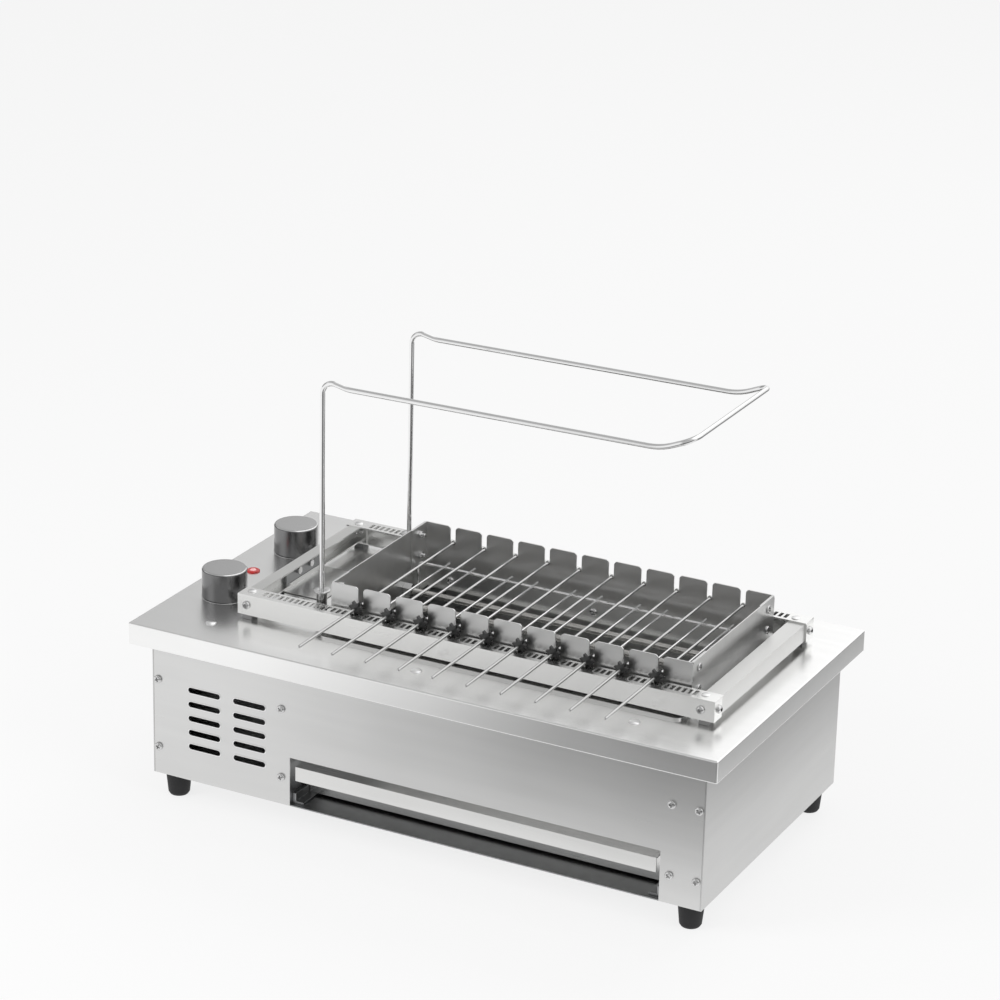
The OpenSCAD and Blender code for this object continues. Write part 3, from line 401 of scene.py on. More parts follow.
def result(host: bpy.types.Object) -> bpy.types.Mesh:
    """The mesh of an object after its modifiers."""
    bpy.context.view_layer.update()
    graph = bpy.context.evaluated_depsgraph_get()
    return bpy.data.meshes.new_from_object(host.evaluated_get(graph), depsgraph=graph)


def baked(host: bpy.types.Object, name: str) -> bpy.types.Object:
    """Turns an object with modifiers into one with a plain mesh, and removes the first."""
    mesh = result(host)
    mesh.name = name
    dropped(host)
    return linked(name, mesh)


def smoothed(mesh: bpy.types.Mesh, sharp: float) -> None:
    """Shades a mesh smooth, but for edges sharper than an angle in degrees."""
    for face in mesh.polygons:
        face.use_smooth = True
    mesh.set_sharp_from_angle(angle=math.radians(sharp))


def rolled(piece: bpy.types.Object, width: float, segments: int = 2) -> bpy.types.Object:
    """Rounds the sharp edges of a piece and keeps its flats flat.

    Args:
        piece: The object, which is used up.
        width: The width of the rounding.
        segments: Its facets.

    Returns:
        The object with a plain mesh.
    """
    name = piece.name
    piece.name = name + ".raw"
    for face in piece.data.polygons:
        face.use_smooth = True
    for kind, settings in (
        ("BEVEL", {
            "width": width, "segments": segments, "limit_method": "ANGLE", "angle_limit": EDGE_ANGLE,
            "use_clamp_overlap": True, "harden_normals": True,
        }),
        ("WEIGHTED_NORMAL", {"mode": "FACE_AREA", "weight": 100, "keep_sharp": True}),
    ):
        modifier = piece.modifiers.new(kind.lower(), kind)
        for key, value in settings.items():
            setattr(modifier, key, value)
    return baked(piece, name)


def round_corners(path: Sequence[Vector], radii: Sequence[float], steps: int = 4) -> list[Vector]:
    """Replaces the corners of a path by arcs.

    Args:
        path: The points, with the ends.
        radii: A radius for each inner point; 0 keeps it sharp.
        steps: Facets of an arc.

    Returns:
        The new path.
    """
    out = [path[0]]
    for before, corner, after, radius in zip(path, path[1:], path[2:], radii):
        back, ahead = (before - corner).normalized(), (after - corner).normalized()
        half = back.angle(ahead) / 2.0
        if radius <= 0.0 or half > STRAIGHT_HALF:
            out.append(corner)
            continue
        middle = corner + (back + ahead).normalized() * radius / math.sin(half)
        reach = radius / math.tan(half)
        start, end = corner + back * reach - middle, corner + ahead * reach - middle
        turn = start.angle(end)
        for k in range(steps + 1):
            share = k / steps
            arm = start * math.sin((1.0 - share) * turn) + end * math.sin(share * turn)
            out.append(middle + arm / math.sin(turn))
    return out + [path[-1]]


def hexagon(radius: float) -> Outline:
    """The corners of a hexagon."""
    return [(radius * math.cos(math.tau * k / 6), radius * math.sin(math.tau * k / 6)) for k in range(6)]


class Shape:
    """Collects the faces of one mesh."""

    def __init__(self) -> None:
        """Starts empty."""
        self.mesh = bmesh.new()

    def lathe(
        self, points: Outline, steps: int, place: Matrix | None = None, radii: Sequence[float] = (),
        closed: bool = False,
    ) -> Shape:
        """Turns a profile about +Z.

        Args:
            points: Radius and height in millimetres, from the bottom round the outside to the top.
            steps: Facets of a turn.
            place: Where the turned piece goes.
            radii: A radius for each corner after the first point, where corners are rounded.
            closed: Whether the last point joins the first one.

        Returns:
            The shape itself.
        """
        place = place or Matrix.Identity(4)
        if radii:
            path = [Vector((r, 0.0, z)) for r, z in (*points, *points[:1 if closed else 0])]
            path = round_corners(path, radii)
            points = [(max(0.0, p.x), p.z) for p in (path[:-1] if closed else path)]
        rings = []
        for radius, height in points:
            turns = [0.0] if radius < SLIVER else [math.tau * k / steps for k in range(steps)]
            rings.append([
                self.mesh.verts.new(place @ mm(radius * math.cos(t), radius * math.sin(t), height))
                for t in turns
            ])
        for low, high in zip(rings, rings[1:] + (rings[:1] if closed else [])):
            for k in range(steps):
                n = k + 1
                ring = [low[k % len(low)], low[n % len(low)], high[n % len(high)], high[k % len(high)]]
                corners = list(dict.fromkeys(ring))
                if len(corners) > 2:
                    self.mesh.faces.new(corners)
        return self

    def prism(self, outline: Outline, low: float, high: float, place: Matrix = IN_MM) -> Shape:
        """Raises a flat outline from one height to another."""
        below, above = (
            [self.mesh.verts.new(place @ Vector((x, y, z))) for x, y in outline] for z in (low, high)
        )
        self.mesh.faces.new(below[::-1])
        self.mesh.faces.new(above)
        for k in range(len(outline)):
            self.mesh.faces.new([below[k - 1], below[k], above[k], above[k - 1]])
        return self

    def made(self, name: str, sharp: float = 0.0) -> bpy.types.Object:
        """Turns the shape into a linked object with outward faces.

        Args:
            name: The object's name.
            sharp: The angle in degrees up to which edges are shaded smooth; 0 leaves them flat.

        Returns:
            The object.
        """
        bmesh.ops.recalc_face_normals(self.mesh, faces=self.mesh.faces)
        mesh = bpy.data.meshes.new(name)
        self.mesh.to_mesh(mesh)
        self.mesh.free()
        if sharp:
            smoothed(mesh, sharp)
        return linked(name, mesh)


class WireWalk:
    """Follows a bent wire: it runs along its own +Z and bends towards its own -X."""

    def __init__(self, start: Matrix) -> None:
        """Starts at a place, facing along the matrix's Z."""
        self.at = start.copy()
        self.points = [start.to_translation()]

    def run(self, length: float) -> WireWalk:
        """Goes straight on."""
        self.at = self.at @ Matrix.Translation((0.0, 0.0, length * MM))
        self.points.append(self.at.to_translation())
        return self

    def roll(self, angle: float) -> WireWalk:
        """Turns about the wire itself."""
        self.at = self.at @ Matrix.Rotation(math.radians(angle), 4, "Z")
        return self

    def bend(self, angle: float, radius: float, steps: int = 14) -> WireWalk:
        """Goes round a bend."""
        start, arm = self.at, Matrix.Translation((radius * MM, 0.0, 0.0))
        for k in range(1, steps + 1):
            turn = Matrix.Rotation(-math.radians(angle) * k / steps, 4, "Y")
            self.at = start @ arm.inverted() @ turn @ arm
            self.points.append(self.at.to_translation())
        return self


# Geometry Nodes


class Tree(Graph):
    """A Geometry Nodes tree with named inputs, which ends in Realize Instances and Set Material."""

    def __init__(self, name: str, inputs: dict[str, tuple[str, Any]]) -> None:
        """Opens the tree.

        Args:
            name: The tree's name.
            inputs: Socket type and default for each named input.
        """
        super().__init__(bpy.data.node_groups.new(name, "GeometryNodeTree"))
        face = self.tree.interface
        face.new_socket("Geometry", in_out="INPUT", socket_type="NodeSocketGeometry")
        self.keys: dict[str, str] = {}
        for key, (kind, default) in {**inputs, "Finish": ("Material", None)}.items():
            socket = face.new_socket(key, in_out="INPUT", socket_type=f"NodeSocket{kind}")
            if default is not None:
                socket.default_value = default
            self.keys[key] = socket.identifier
        face.new_socket("Geometry", in_out="OUTPUT", socket_type="NodeSocketGeometry")
        self.start = self.tree.nodes.new("NodeGroupInput")
        self.end = self.tree.nodes.new("NodeGroupOutput")

    def __getitem__(self, key: str) -> Value:
        """A named input."""
        return Value(self, self.start.outputs[key])

    def close(self, geometry: Any, smooth: bool = True) -> Tree:
        """Ends the tree."""
        plain = self.node("GeometryNodeRealizeInstances", None, {"Geometry": geometry})
        shaded = self.node("GeometryNodeSetShadeSmooth", None, {"Geometry": plain, "Shade Smooth": smooth})
        sockets = {"Geometry": shaded, "Material": self["Finish"]}
        dressed = self.node("GeometryNodeSetMaterial", None, sockets)
        self.tree.links.new(dressed.socket, self.end.inputs["Geometry"])
        return self

    def grow(self, host: bpy.types.Object, name: str, values: dict[str, Any]) -> bpy.types.Object:
        """Runs the tree on an object.

        Args:
            host: The object that carries the points or the path, which is used up.
            name: The new object's name.
            values: A value for each named input that differs from its default.

        Returns:
            An object with the tree's result as a plain mesh.
        """
        modifier = host.modifiers.new("tree", "NODES")
        modifier.node_group = self.tree
        for key, value in values.items():
            modifier[self.keys[key]] = value
        return baked(host, name)


class Makers:
    """The trees that more than one piece is made with."""

    def __init__(self) -> None:
        """Builds each tree once."""
        self.sweep = self._sweep()
        self.scatter = self._scatter()
        self.wheel = self._wheel()

    @staticmethod
    def _sweep() -> Tree:
        """A round wire along a path."""
        tree = Tree("wire_along_path", {"Radius": ("Float", 0.001), "Facets": ("Int", 20)})
        curve = tree.node("GeometryNodeMeshToCurve", None, {"Mesh": tree["Geometry"]})
        sockets = {"Radius": tree["Radius"], "Resolution": tree["Facets"]}
        ring = tree.node("GeometryNodeCurvePrimitiveCircle", None, sockets)
        sockets = {"Curve": curve, "Profile Curve": ring, "Fill Caps": True}
        return tree.close(tree.node("GeometryNodeCurveToMesh", None, sockets))

    @staticmethod
    def _scatter() -> Tree:
        """A template on each point, with its +Z along the point's own direction."""
        tree = Tree("template_on_points", {"Template": ("Object", None)})
        facing, spin = (
            tree.node("GeometryNodeInputNamedAttribute", {"data_type": kind}, {"Name": name})
            for name, kind in (("facing", "FLOAT_VECTOR"), ("spin", "FLOAT"))
        )
        aim = tree.node("FunctionNodeAlignRotationToVector", {"axis": "Z"}, {"Vector": facing})
        sockets = {"Axis": (0.0, 0.0, 1.0), "Angle": spin}
        about = tree.node("FunctionNodeAxisAngleToRotation", None, sockets)
        sockets = {"Rotation": aim, "Rotate By": about}
        turned = tree.node("FunctionNodeRotateRotation", {"rotation_space": "LOCAL"}, sockets)
        shape = tree.node("GeometryNodeObjectInfo", None, {"Object": tree["Template"]}, "Geometry")
        sockets = {"Points": tree["Geometry"], "Instance": shape, "Rotation": turned}
        return tree.close(tree.node("GeometryNodeInstanceOnPoints", None, sockets))

    @staticmethod
    def _wheel() -> Tree:
        """A flat star wheel: two corners for each point of the star and one between two points."""
        tree = Tree("star_wheel", {
            "Teeth": ("Int", 7), "Tip Radius": ("Float", 0.0074), "Root Radius": ("Float", 0.004),
            "Tip Turn": ("Float", 0.06), "Width": ("Float", 0.004),
        })
        sockets = {"Vertices": tree["Teeth"] * 3.0, "Radius": 1.0}
        disc = tree.node("GeometryNodeMeshCircle", {"fill_type": "NGON"}, sockets)
        index = tree.node("GeometryNodeInputIndex")
        tooth = tree.maths("FLOOR", tree.maths("DIVIDE", index, 3.0))
        step = tree.maths("MODULO", index, 3.0)
        pitch = tree.maths("DIVIDE", math.tau, tree["Teeth"])
        at_tip, root = (step * 2.0 - 1.0) * tree["Tip Turn"], tree.maths("GREATER_THAN", step, 1.5)
        side, reach = (
            tree.node("GeometryNodeSwitch", {"input_type": "FLOAT"}, {"Switch": root, "False": no, "True": yes})
            for no, yes in ((at_tip, pitch * 0.5), (tree["Tip Radius"], tree["Root Radius"]))
        )
        angle = tooth * pitch - math.pi / 2.0 + side
        sockets = {"X": tree.maths("COSINE", angle) * reach, "Y": tree.maths("SINE", angle) * reach}
        spot = tree.node("ShaderNodeCombineXYZ", None, sockets)
        flat = tree.node("GeometryNodeSetPosition", None, {"Geometry": disc, "Position": spot})
        sockets = {"Mesh": flat, "Offset Scale": tree["Width"], "Individual": False}
        solid = tree.node("GeometryNodeExtrudeMesh", {"mode": "FACES"}, sockets)
        back = tree.node("GeometryNodeFlipFaces", None, {"Mesh": flat})
        whole = tree.node("GeometryNodeJoinGeometry", None, {"Geometry": [back, solid]})
        merged = tree.node("GeometryNodeMergeByDistance", None, {"Geometry": whole, "Distance": SLIVER})
        return tree.close(merged, smooth=False)


# Screws and rivets


class Drive(Enum):
    """What turns a screw."""

    CROSS = "cross"
    HEXAGON = "hexagon"
    NONE = "none"


@dataclass(frozen=True)
class Fastener:
    """One screw or rivet, along +Z with its seat at the origin. Sizes are in millimetres.

    Shares across the axis are of the head's width, and those along it are of its height.
    """

    head: float = 8.0
    height: float = 2.6
    shank: float = 4.0
    length: float = 8.0
    drive: Drive = Drive.CROSS
    flat: bool = False
    rim: float = 0.45
    tip_chamfer: float = 0.4
    lip: float = 0.25
    crown_angles: tuple[float, ...] = (0.0, 18.0, 36.0, 54.0, 70.0)
    flat_rim_share: float = 0.85
    flat_top_share: float = 0.93
    hexagon_share: float = 0.24
    hexagon_depth_share: float = 0.4
    cross_shares: Pair = (0.29, 0.09)
    cross_floor_share: float = 0.05
    bit_overrun: float = 1.0
    facets: int = 32
    sharp: float = 38.0

    def built(self, name: str) -> bpy.types.Object:
        """Builds the head, with its recess, and the shank."""
        edge, core, chamfer = self.head / 2.0, self.shank / 2.0, self.tip_chamfer
        rim = self.height * self.rim
        crown = [
            (edge * math.cos(a), rim + (self.height - rim) * math.sin(a))
            for a in map(math.radians, self.crown_angles)
        ]
        if self.flat:
            crown = [(edge, self.height * self.flat_rim_share), (edge * self.flat_top_share, self.height)]
        outline = [
            (0.0, -self.length), (core - chamfer, -self.length), (core, -self.length + chamfer), (core, 0.0),
            (edge - self.lip, 0.0), (edge, self.lip), *crown, (0.0, self.height),
        ]
        body = Shape().lathe(outline, self.facets).made(name)
        if self.drive is not Drive.NONE:
            self._cut(body)
        smoothed(body.data, self.sharp)
        return body

    def _cut(self, body: bpy.types.Object) -> None:
        """Takes the driver's bit, a cross or a hexagon, out of the head."""
        bit, above = Shape(), self.height + self.bit_overrun
        if self.drive is Drive.HEXAGON:
            outline = hexagon(self.head * self.hexagon_share)
            bit.prism(outline, -self.height * self.hexagon_depth_share, above)
        else:
            long, wide = (self.head * share for share in self.cross_shares)
            arm = [(-long, -wide), (long, -wide), (long, wide), (-long, wide)]
            for turn in (0.0, math.pi / 2.0):
                place = Matrix.Rotation(turn, 4, "Z") @ IN_MM
                bit.prism(arm, self.height * self.cross_floor_share, above, place)
        modifier = body.modifiers.new("recess", "BOOLEAN")
        modifier.operation = "DIFFERENCE"
        modifier.solver = "EXACT"
        modifier.use_self = True
        modifier.object = bit.made("bit")
        mesh = result(body)
        dropped(modifier.object)
        body.modifiers.clear()
        body.data = mesh


# The bench: finishes, bodies and slots


def finishes() -> dict[str, bpy.types.Material]:
    """Every finish of the grill, under the record's own slot names or a name of its own."""
    along_x, along_y, along_z, even = Grain.ALONG_X, Grain.ALONG_Y, Grain.ALONG_Z, Grain.NONE
    makers = [
        # Partly painted light: the plate's own bright steel, made lighter still than the case's steel for the
        # light that its top and skirt catch.
        BrushedSteel("plate_sheet", (0.93, 0.93, 0.925), 0.26, along_x, 0.02, 0.04, 0.02),
        BrushedSteel("case_sheet", (0.70, 0.70, 0.695), 0.30, along_x, 0.08, 0.10, 0.03),
        BrushedSteel("side_sheet", (0.60, 0.60, 0.595), 0.30, along_y, 0.10, 0.10, 0.03),
        # Painted shade: the steel of the base pan, partitions, yoke, motor shelf and guides is darkened for the
        # shade inside the case.
        BrushedSteel("inner_sheet", (0.34, 0.345, 0.35), 0.38, even, 0.06, 0.10, 0.08),
        BrushedSteel("drawer_sheet", (0.78, 0.78, 0.77), 0.26, along_x, 0.03, 0.06, 0.03),
        BrushedSteel("well_sheet", (0.70, 0.70, 0.69), 0.30, along_x, 0.08, 0.10, 0.06),
        BrushedSteel("firebox_sheet", (0.70, 0.70, 0.695), 0.32, along_x, 0.05, 0.08, 0.05),
        # Painted light: the front and rear rails get a lighter copy of the frame's steel than the cross rails
        # below, for the light that their faces catch.
        BrushedSteel("rail_sheet", (0.92, 0.92, 0.91), 0.26, along_x, 0.025, 0.05, 0.02),
        BrushedSteel("cross_rail_sheet", (0.70, 0.70, 0.69), 0.30, along_y, 0.03, 0.06, 0.03),
        BrushedSteel("skewer_steel", (0.56, 0.56, 0.555), 0.16, along_y, 0.05, 0.06, 0.04),
        BrushedSteel("wheel_steel", (0.07, 0.07, 0.07), 0.34, even, 0.10, 0.14, 0.20),
        BrushedSteel("bright_wire", (0.88, 0.88, 0.88), 0.08, even, 0.02, 0.03, 0.02),
        BrushedSteel("screw_steel", (0.66, 0.66, 0.66), 0.12, even, 0.04, 0.06, 0.03),
        # The vent rims in this steel are a painted highlight, lighter than the panel that they are pressed
        # from; the rivets share it.
        BrushedSteel("rim_steel", (0.96, 0.96, 0.96), 0.30, even, 0.04, 0.06, 0.02),
        BrushedSteel("socket_steel", (0.42, 0.42, 0.42), 0.20, along_z, 0.05, 0.06, 0.04),
        BrushedSteel("heater_tube", (0.62, 0.61, 0.59), 0.26, even, 0.06, 0.10, 0.10),
        BrushedSteel("crank_steel", (0.45, 0.45, 0.46), 0.30, even, 0.06, 0.08, 0.06),
        BrushedSteel("roller_brass", (0.70, 0.52, 0.22), 0.24, along_z, 0.05, 0.06, 0.06),
        Moulded("rubber", (0.012, 0.012, 0.013), 0.66, 700.0, 0.2),
        Moulded("black_plastic", (0.03, 0.03, 0.03), 0.45, 900.0, 0.15),
        Moulded("glide_plastic", (0.20, 0.20, 0.20), 0.50, 900.0, 0.15),
        Moulded("white_ceramic", (0.72, 0.71, 0.67), 0.40, 600.0, 0.12),
        Moulded("motor_paint", (0.13, 0.135, 0.14), 0.38, 500.0, 0.2, 0.2),
        Moulded("lamp_plastic", (0.55, 0.02, 0.02), 0.20, 700.0, 0.05, 0.5),
        # Painted highlight: the lens is pale pink and glows, for the light centre of its dome.
        RedLens("lamp_glass", (0.80, 0.42, 0.42), 0.08),
    ]
    return {maker.name: maker.material() for maker in makers}


class Bench:
    """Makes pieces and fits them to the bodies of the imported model."""

    def __init__(self, frame: dict[str, Any]) -> None:
        """Reads the bodies and slots of the record."""
        record = frame["record"]
        self.nodes: dict[str, bpy.types.Object] = frame["nodes"]
        self.bodies = {n: b for b, nodes in record["behaviour"]["bodies"].items() for n in nodes}
        self.slots = {s["node"]: s["material_slot"] for s in record["subparts"]}
        self.finishes = finishes()
        self.makers = Makers()

    def fit(self, piece: bpy.types.Object, finish: str | Finish, *nodes: str, like: str = "") -> None:
        """Dresses a piece and fixes it to its body.

        Args:
            piece: The finished object.
            finish: The name of its finish, or a finish of its own.
            nodes: The nodes that it stands for.
            like: A node whose body it shares where it stands for none.
        """
        if isinstance(finish, Finish):
            self.finishes.setdefault(finish.name, finish.material())
            finish = finish.name
        model = nodes[0] if nodes else like
        piece.data.materials.clear()
        piece.data.materials.append(self.finishes[finish])
        for face in piece.data.polygons:
            face.material_index = 0
        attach(piece, self.bodies[model])
        if nodes:
            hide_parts(*nodes)
        LOG.info("%s on %s, %d faces", piece.name, self.bodies[model], len(piece.data.polygons))

    def turned(
        self, name: str, outline: Outline, facets: int, place: Matrix, radii: Sequence[float],
        finish: str | Finish, *nodes: str, like: str = "", closed: bool = False, sharp: float = 180.0,
    ) -> None:
        """Makes a turned piece, as Shape.lathe and Shape.made do, and fits it."""
        piece = Shape().lathe(outline, facets, place, radii, closed).made(name, sharp)
        self.fit(piece, finish, *nodes, like=like)

    def merged(self, node: str, name: str) -> bpy.types.Object:
        """A copy of a node with whole faces in place of loose triangles."""
        mesh = self.nodes[node].data.copy()
        work = bmesh.new()
        work.from_mesh(mesh)
        bmesh.ops.remove_doubles(work, verts=work.verts, dist=WELD)
        bmesh.ops.dissolve_degenerate(work, dist=SLIVER, edges=work.edges)
        bmesh.ops.dissolve_limit(work, angle_limit=SAME_FACE, verts=work.verts, edges=work.edges)
        work.to_mesh(mesh)
        work.free()
        mesh.name = name
        return linked(name, mesh)

    def soften(self, *rows: tuple) -> None:
        """Stands in for nodes with copies that have rounded edges.

        Args:
            rows: A node, a name, a finish, the rounding's width in millimetres and maybe its facets.
        """
        for node, name, finish, width, *segments in rows:
            self.fit(rolled(self.merged(node, name), width * MM, *segments), finish, node)

    def wire(
        self, name: str, paths: Iterable[Sequence[Vector]], radius: float, finish: str, facets: int,
        loop: bool = False,
    ) -> bpy.types.Object:
        """Round wires along paths, as one object.

        Args:
            name: The object's name.
            paths: The points of each wire.
            radius: The wires' radius in millimetres.
            finish: The name of their finish.
            facets: The facets round a wire.
            loop: Whether each wire closes on itself.

        Returns:
            The object.
        """
        spots: list[Vector] = []
        edges: list[tuple[int, int]] = []
        for path in paths:
            first = len(spots)
            spots.extend(path)
            edges.extend((first + k, first + k + 1) for k in range(len(path) - 1))
            if loop:
                edges.append((first + len(path) - 1, first))
        mesh = bpy.data.meshes.new(name)
        mesh.from_pydata(spots, edges, [])
        values = {"Radius": radius * MM, "Facets": facets, "Finish": self.finishes[finish]}
        return self.makers.sweep.grow(linked(name + ".path", mesh), name, values)

    def strew(
        self, name: str, template: Fastener | bpy.types.Object,
        spots: Sequence[tuple[Vector, Direction, float]], finish: str, *nodes: str, like: str = "",
    ) -> None:
        """Fits a copy of a template at each spot.

        Args:
            name: The name of the object with all copies.
            template: What is copied, with its seat at the origin and its top along +Z; an object
                is used up.
            spots: A place, a direction and a turn in degrees for each copy.
            finish: The name of the copies' finish.
            nodes: The nodes that they stand for.
            like: A node whose body they share where they stand for none.
        """
        if isinstance(template, Fastener):
            template = template.built(name + ".one")
        mesh = bpy.data.meshes.new(name)
        mesh.from_pydata([spot for spot, _, _ in spots], [], [])
        mesh.attributes.new("facing", "FLOAT_VECTOR", "POINT")
        mesh.attributes.new("spin", "FLOAT", "POINT")
        for k, (_, way, turn) in enumerate(spots):
            mesh.attributes["facing"].data[k].vector = way.vector
            mesh.attributes["spin"].data[k].value = math.radians(turn)
        values = {"Template": template, "Finish": self.finishes[finish]}
        piece = self.makers.scatter.grow(linked(name + ".points", mesh), name, values)
        self.fit(piece, finish, *nodes, like=like)
        dropped(template)


# Sub-assemblies


@dataclass
class Case:
    """The sheet-steel case: plate, panels, vents, feet and what is screwed to it. In millimetres."""

    bench: Bench
    plate_half: Pair = (300.0, 167.0)
    plate_top: float = 180.0
    plate_fold: float = 2.4
    middle_y: float = 14.0
    front_y: float = -137.0
    rear_y: float = 165.0
    screw_xs: tuple[float, ...] = (-278.0, -144.22, 251.82, 278.0)
    screw_zs: tuple[float, ...] = (121.5, 52.5)
    screw_turns: tuple[float, ...] = (17.0, 37.0, 53.0, 11.0)
    sole_turns: Pair = (24.0, 10.0)
    vent_xs: tuple[float, ...] = (-227.5, -178.5)
    vent_top: float = 118.0
    vent_pitch: float = 14.4
    vent_rows: int = 5
    vent_half: float = 14.5
    vent_r: float = 3.0
    rim_r: float = 0.5
    rim_out: float = 0.15
    foot_at: Pair = (267.0, 134.0)
    foot_outline: Outline = (
        (4.4, 5.6), (4.4, 0.0), (8.6, 0.0), (10.25, 2.5), (12.5, 25.0), (2.3, 25.0), (2.3, 5.6)
    )
    foot_radii: tuple[float, ...] = (0.5, 0.8, 1.2, 0.6, 0.0, 0.0)
    sole_z: float = 5.6
    sole_screw: float = 23.0
    rivet_xs: tuple[float, ...] = (-233.5, -15.5, 202.5)
    rivet_y: float = 129.0

    def build(self) -> None:
        """Makes every piece of the case."""
        self.plate()
        self.bench.soften(
            ("front_panel", "front_sheet", "case_sheet", 0.3),
            ("rear_panel", "rear_sheet", "case_sheet", 0.3),
            ("left_side", "left_sheet", "side_sheet", 0.35),
            ("right_side", "right_sheet", "side_sheet", 0.35),
            ("base_pan", "base_sheet", "inner_sheet", 0.3),
            ("left_partition", "left_inner_wall", "inner_sheet", 0.3),
            ("right_partition", "right_inner_wall", "inner_sheet", 0.3),
            ("cable_gland", "gland_body", "black_plastic", 0.5),
            ("terminal_block", "terminal_body", "white_ceramic", 0.5),
        )
        self.vents()
        self.screws()
        self.rivets()
        self.feet()

    def plate(self) -> None:
        """The top plate with the round folds of a bent sheet along its four edges."""
        piece = self.bench.merged("top_plate", "plate_shell")
        work = bmesh.new()
        work.from_mesh(piece.data)
        half_x, half_y = self.plate_half
        near = 0.05

        def outer(edge: bmesh.types.BMEdge) -> bool:
            """Whether an edge is one of the folds."""
            on_side = []
            for vert in edge.verts:
                x, y, z = vert.co / MM
                side = abs(abs(x) - half_x) < near, abs(abs(y - self.middle_y) - half_y) < near
                on_side.append((side, abs(z - self.plate_top) < near))
            (a, high_a), (b, high_b) = on_side
            along_top = high_a and high_b and ((a[0] and b[0]) or (a[1] and b[1]))
            return along_top or (a == b == (True, True) and not (high_a and high_b))

        bmesh.ops.bevel(
            work, geom=[edge for edge in work.edges if outer(edge)], offset=self.plate_fold * MM,
            offset_type="OFFSET", segments=6, profile=0.5, affect="EDGES", clamp_overlap=True,
        )
        work.to_mesh(piece.data)
        work.free()
        self.bench.fit(rolled(piece, 0.35 * MM), "plate_sheet", "top_plate")

    def vents(self) -> None:
        """Rolled rims round the vent slots, in the front and the rear panel, lighter than the panel's own sheet
        as a painted highlight.
        """
        reach = self.vent_r + self.rim_out
        angles = [math.radians(15.0 * k - 90.0) for k in range(13)]
        path = [
            mm(side * (self.vent_half + reach * math.cos(a)), side * reach * math.sin(a), 0.0)
            for side in (1.0, -1.0) for a in angles
        ]
        for node, name, level, way in (
            ("front_panel", "front_vent_rims", self.front_y, Direction.FRONT),
            ("rear_panel", "rear_vent_rims", self.rear_y, Direction.BACK),
        ):
            spots = [
                (mm(x, level, self.vent_top - row * self.vent_pitch), way, 0.0)
                for x in self.vent_xs for row in range(self.vent_rows)
            ]
            template = self.bench.wire(name + ".one", [path], self.rim_r, "rim_steel", facets=10, loop=True)
            self.bench.strew(name, template, spots, "rim_steel", like=node)

    def corners(self, level: float) -> list[tuple[int, int, Vector]]:
        """The signs and the place of each foot, at a level."""
        x, y = self.foot_at
        return [(a, b, mm(a * x, b * y + self.middle_y, level)) for a in SIDES for b in SIDES]

    def screws(self) -> None:
        """Pan-head screws in the panels, and the screws that hold the feet, each turned its own way."""
        spots = []
        first, by_column, by_row, behind = self.screw_turns
        by_side, by_end = self.sole_turns
        for row, z in enumerate(self.screw_zs):
            for column, x in enumerate(self.screw_xs):
                turn = first + by_column * column + by_row * row
                spots.append((mm(x, self.front_y, z), Direction.FRONT, turn))
                spots.append((mm(x, self.rear_y, z), Direction.BACK, turn + behind))
        feet = [
            (at, Direction.DOWN, by_side * a + by_end * b) for a, b, at in self.corners(self.sole_z)
        ]
        self.bench.strew("case_screw_heads", Fastener(), spots, "screw_steel", "case_screws")
        sole = Fastener(length=self.sole_screw)
        self.bench.strew("foot_screw_heads", sole, feet, "screw_steel", like="case_screws")

    def rivets(self) -> None:
        """Round rivets in the plate."""
        rivet = Fastener(head=10.5, height=1.4, drive=Drive.NONE, rim=0.2)
        spots = [
            (mm(x, s * self.rivet_y + self.middle_y, self.plate_top), Direction.UP, 0.0)
            for x in self.rivet_xs for s in SIDES
        ]
        self.bench.strew("plate_rivet_heads", rivet, spots, "rim_steel", "plate_rivets")

    def feet(self) -> None:
        """Rubber feet with a round foot edge and a recess for the screw."""
        shape = Shape()
        for _, _, at in self.corners(0.0):
            shape.lathe(self.foot_outline, 48, Matrix.Translation(at), self.foot_radii, closed=True)
        self.bench.fit(shape.made("foot_rubbers", 50.0), "rubber", "rubber_feet")


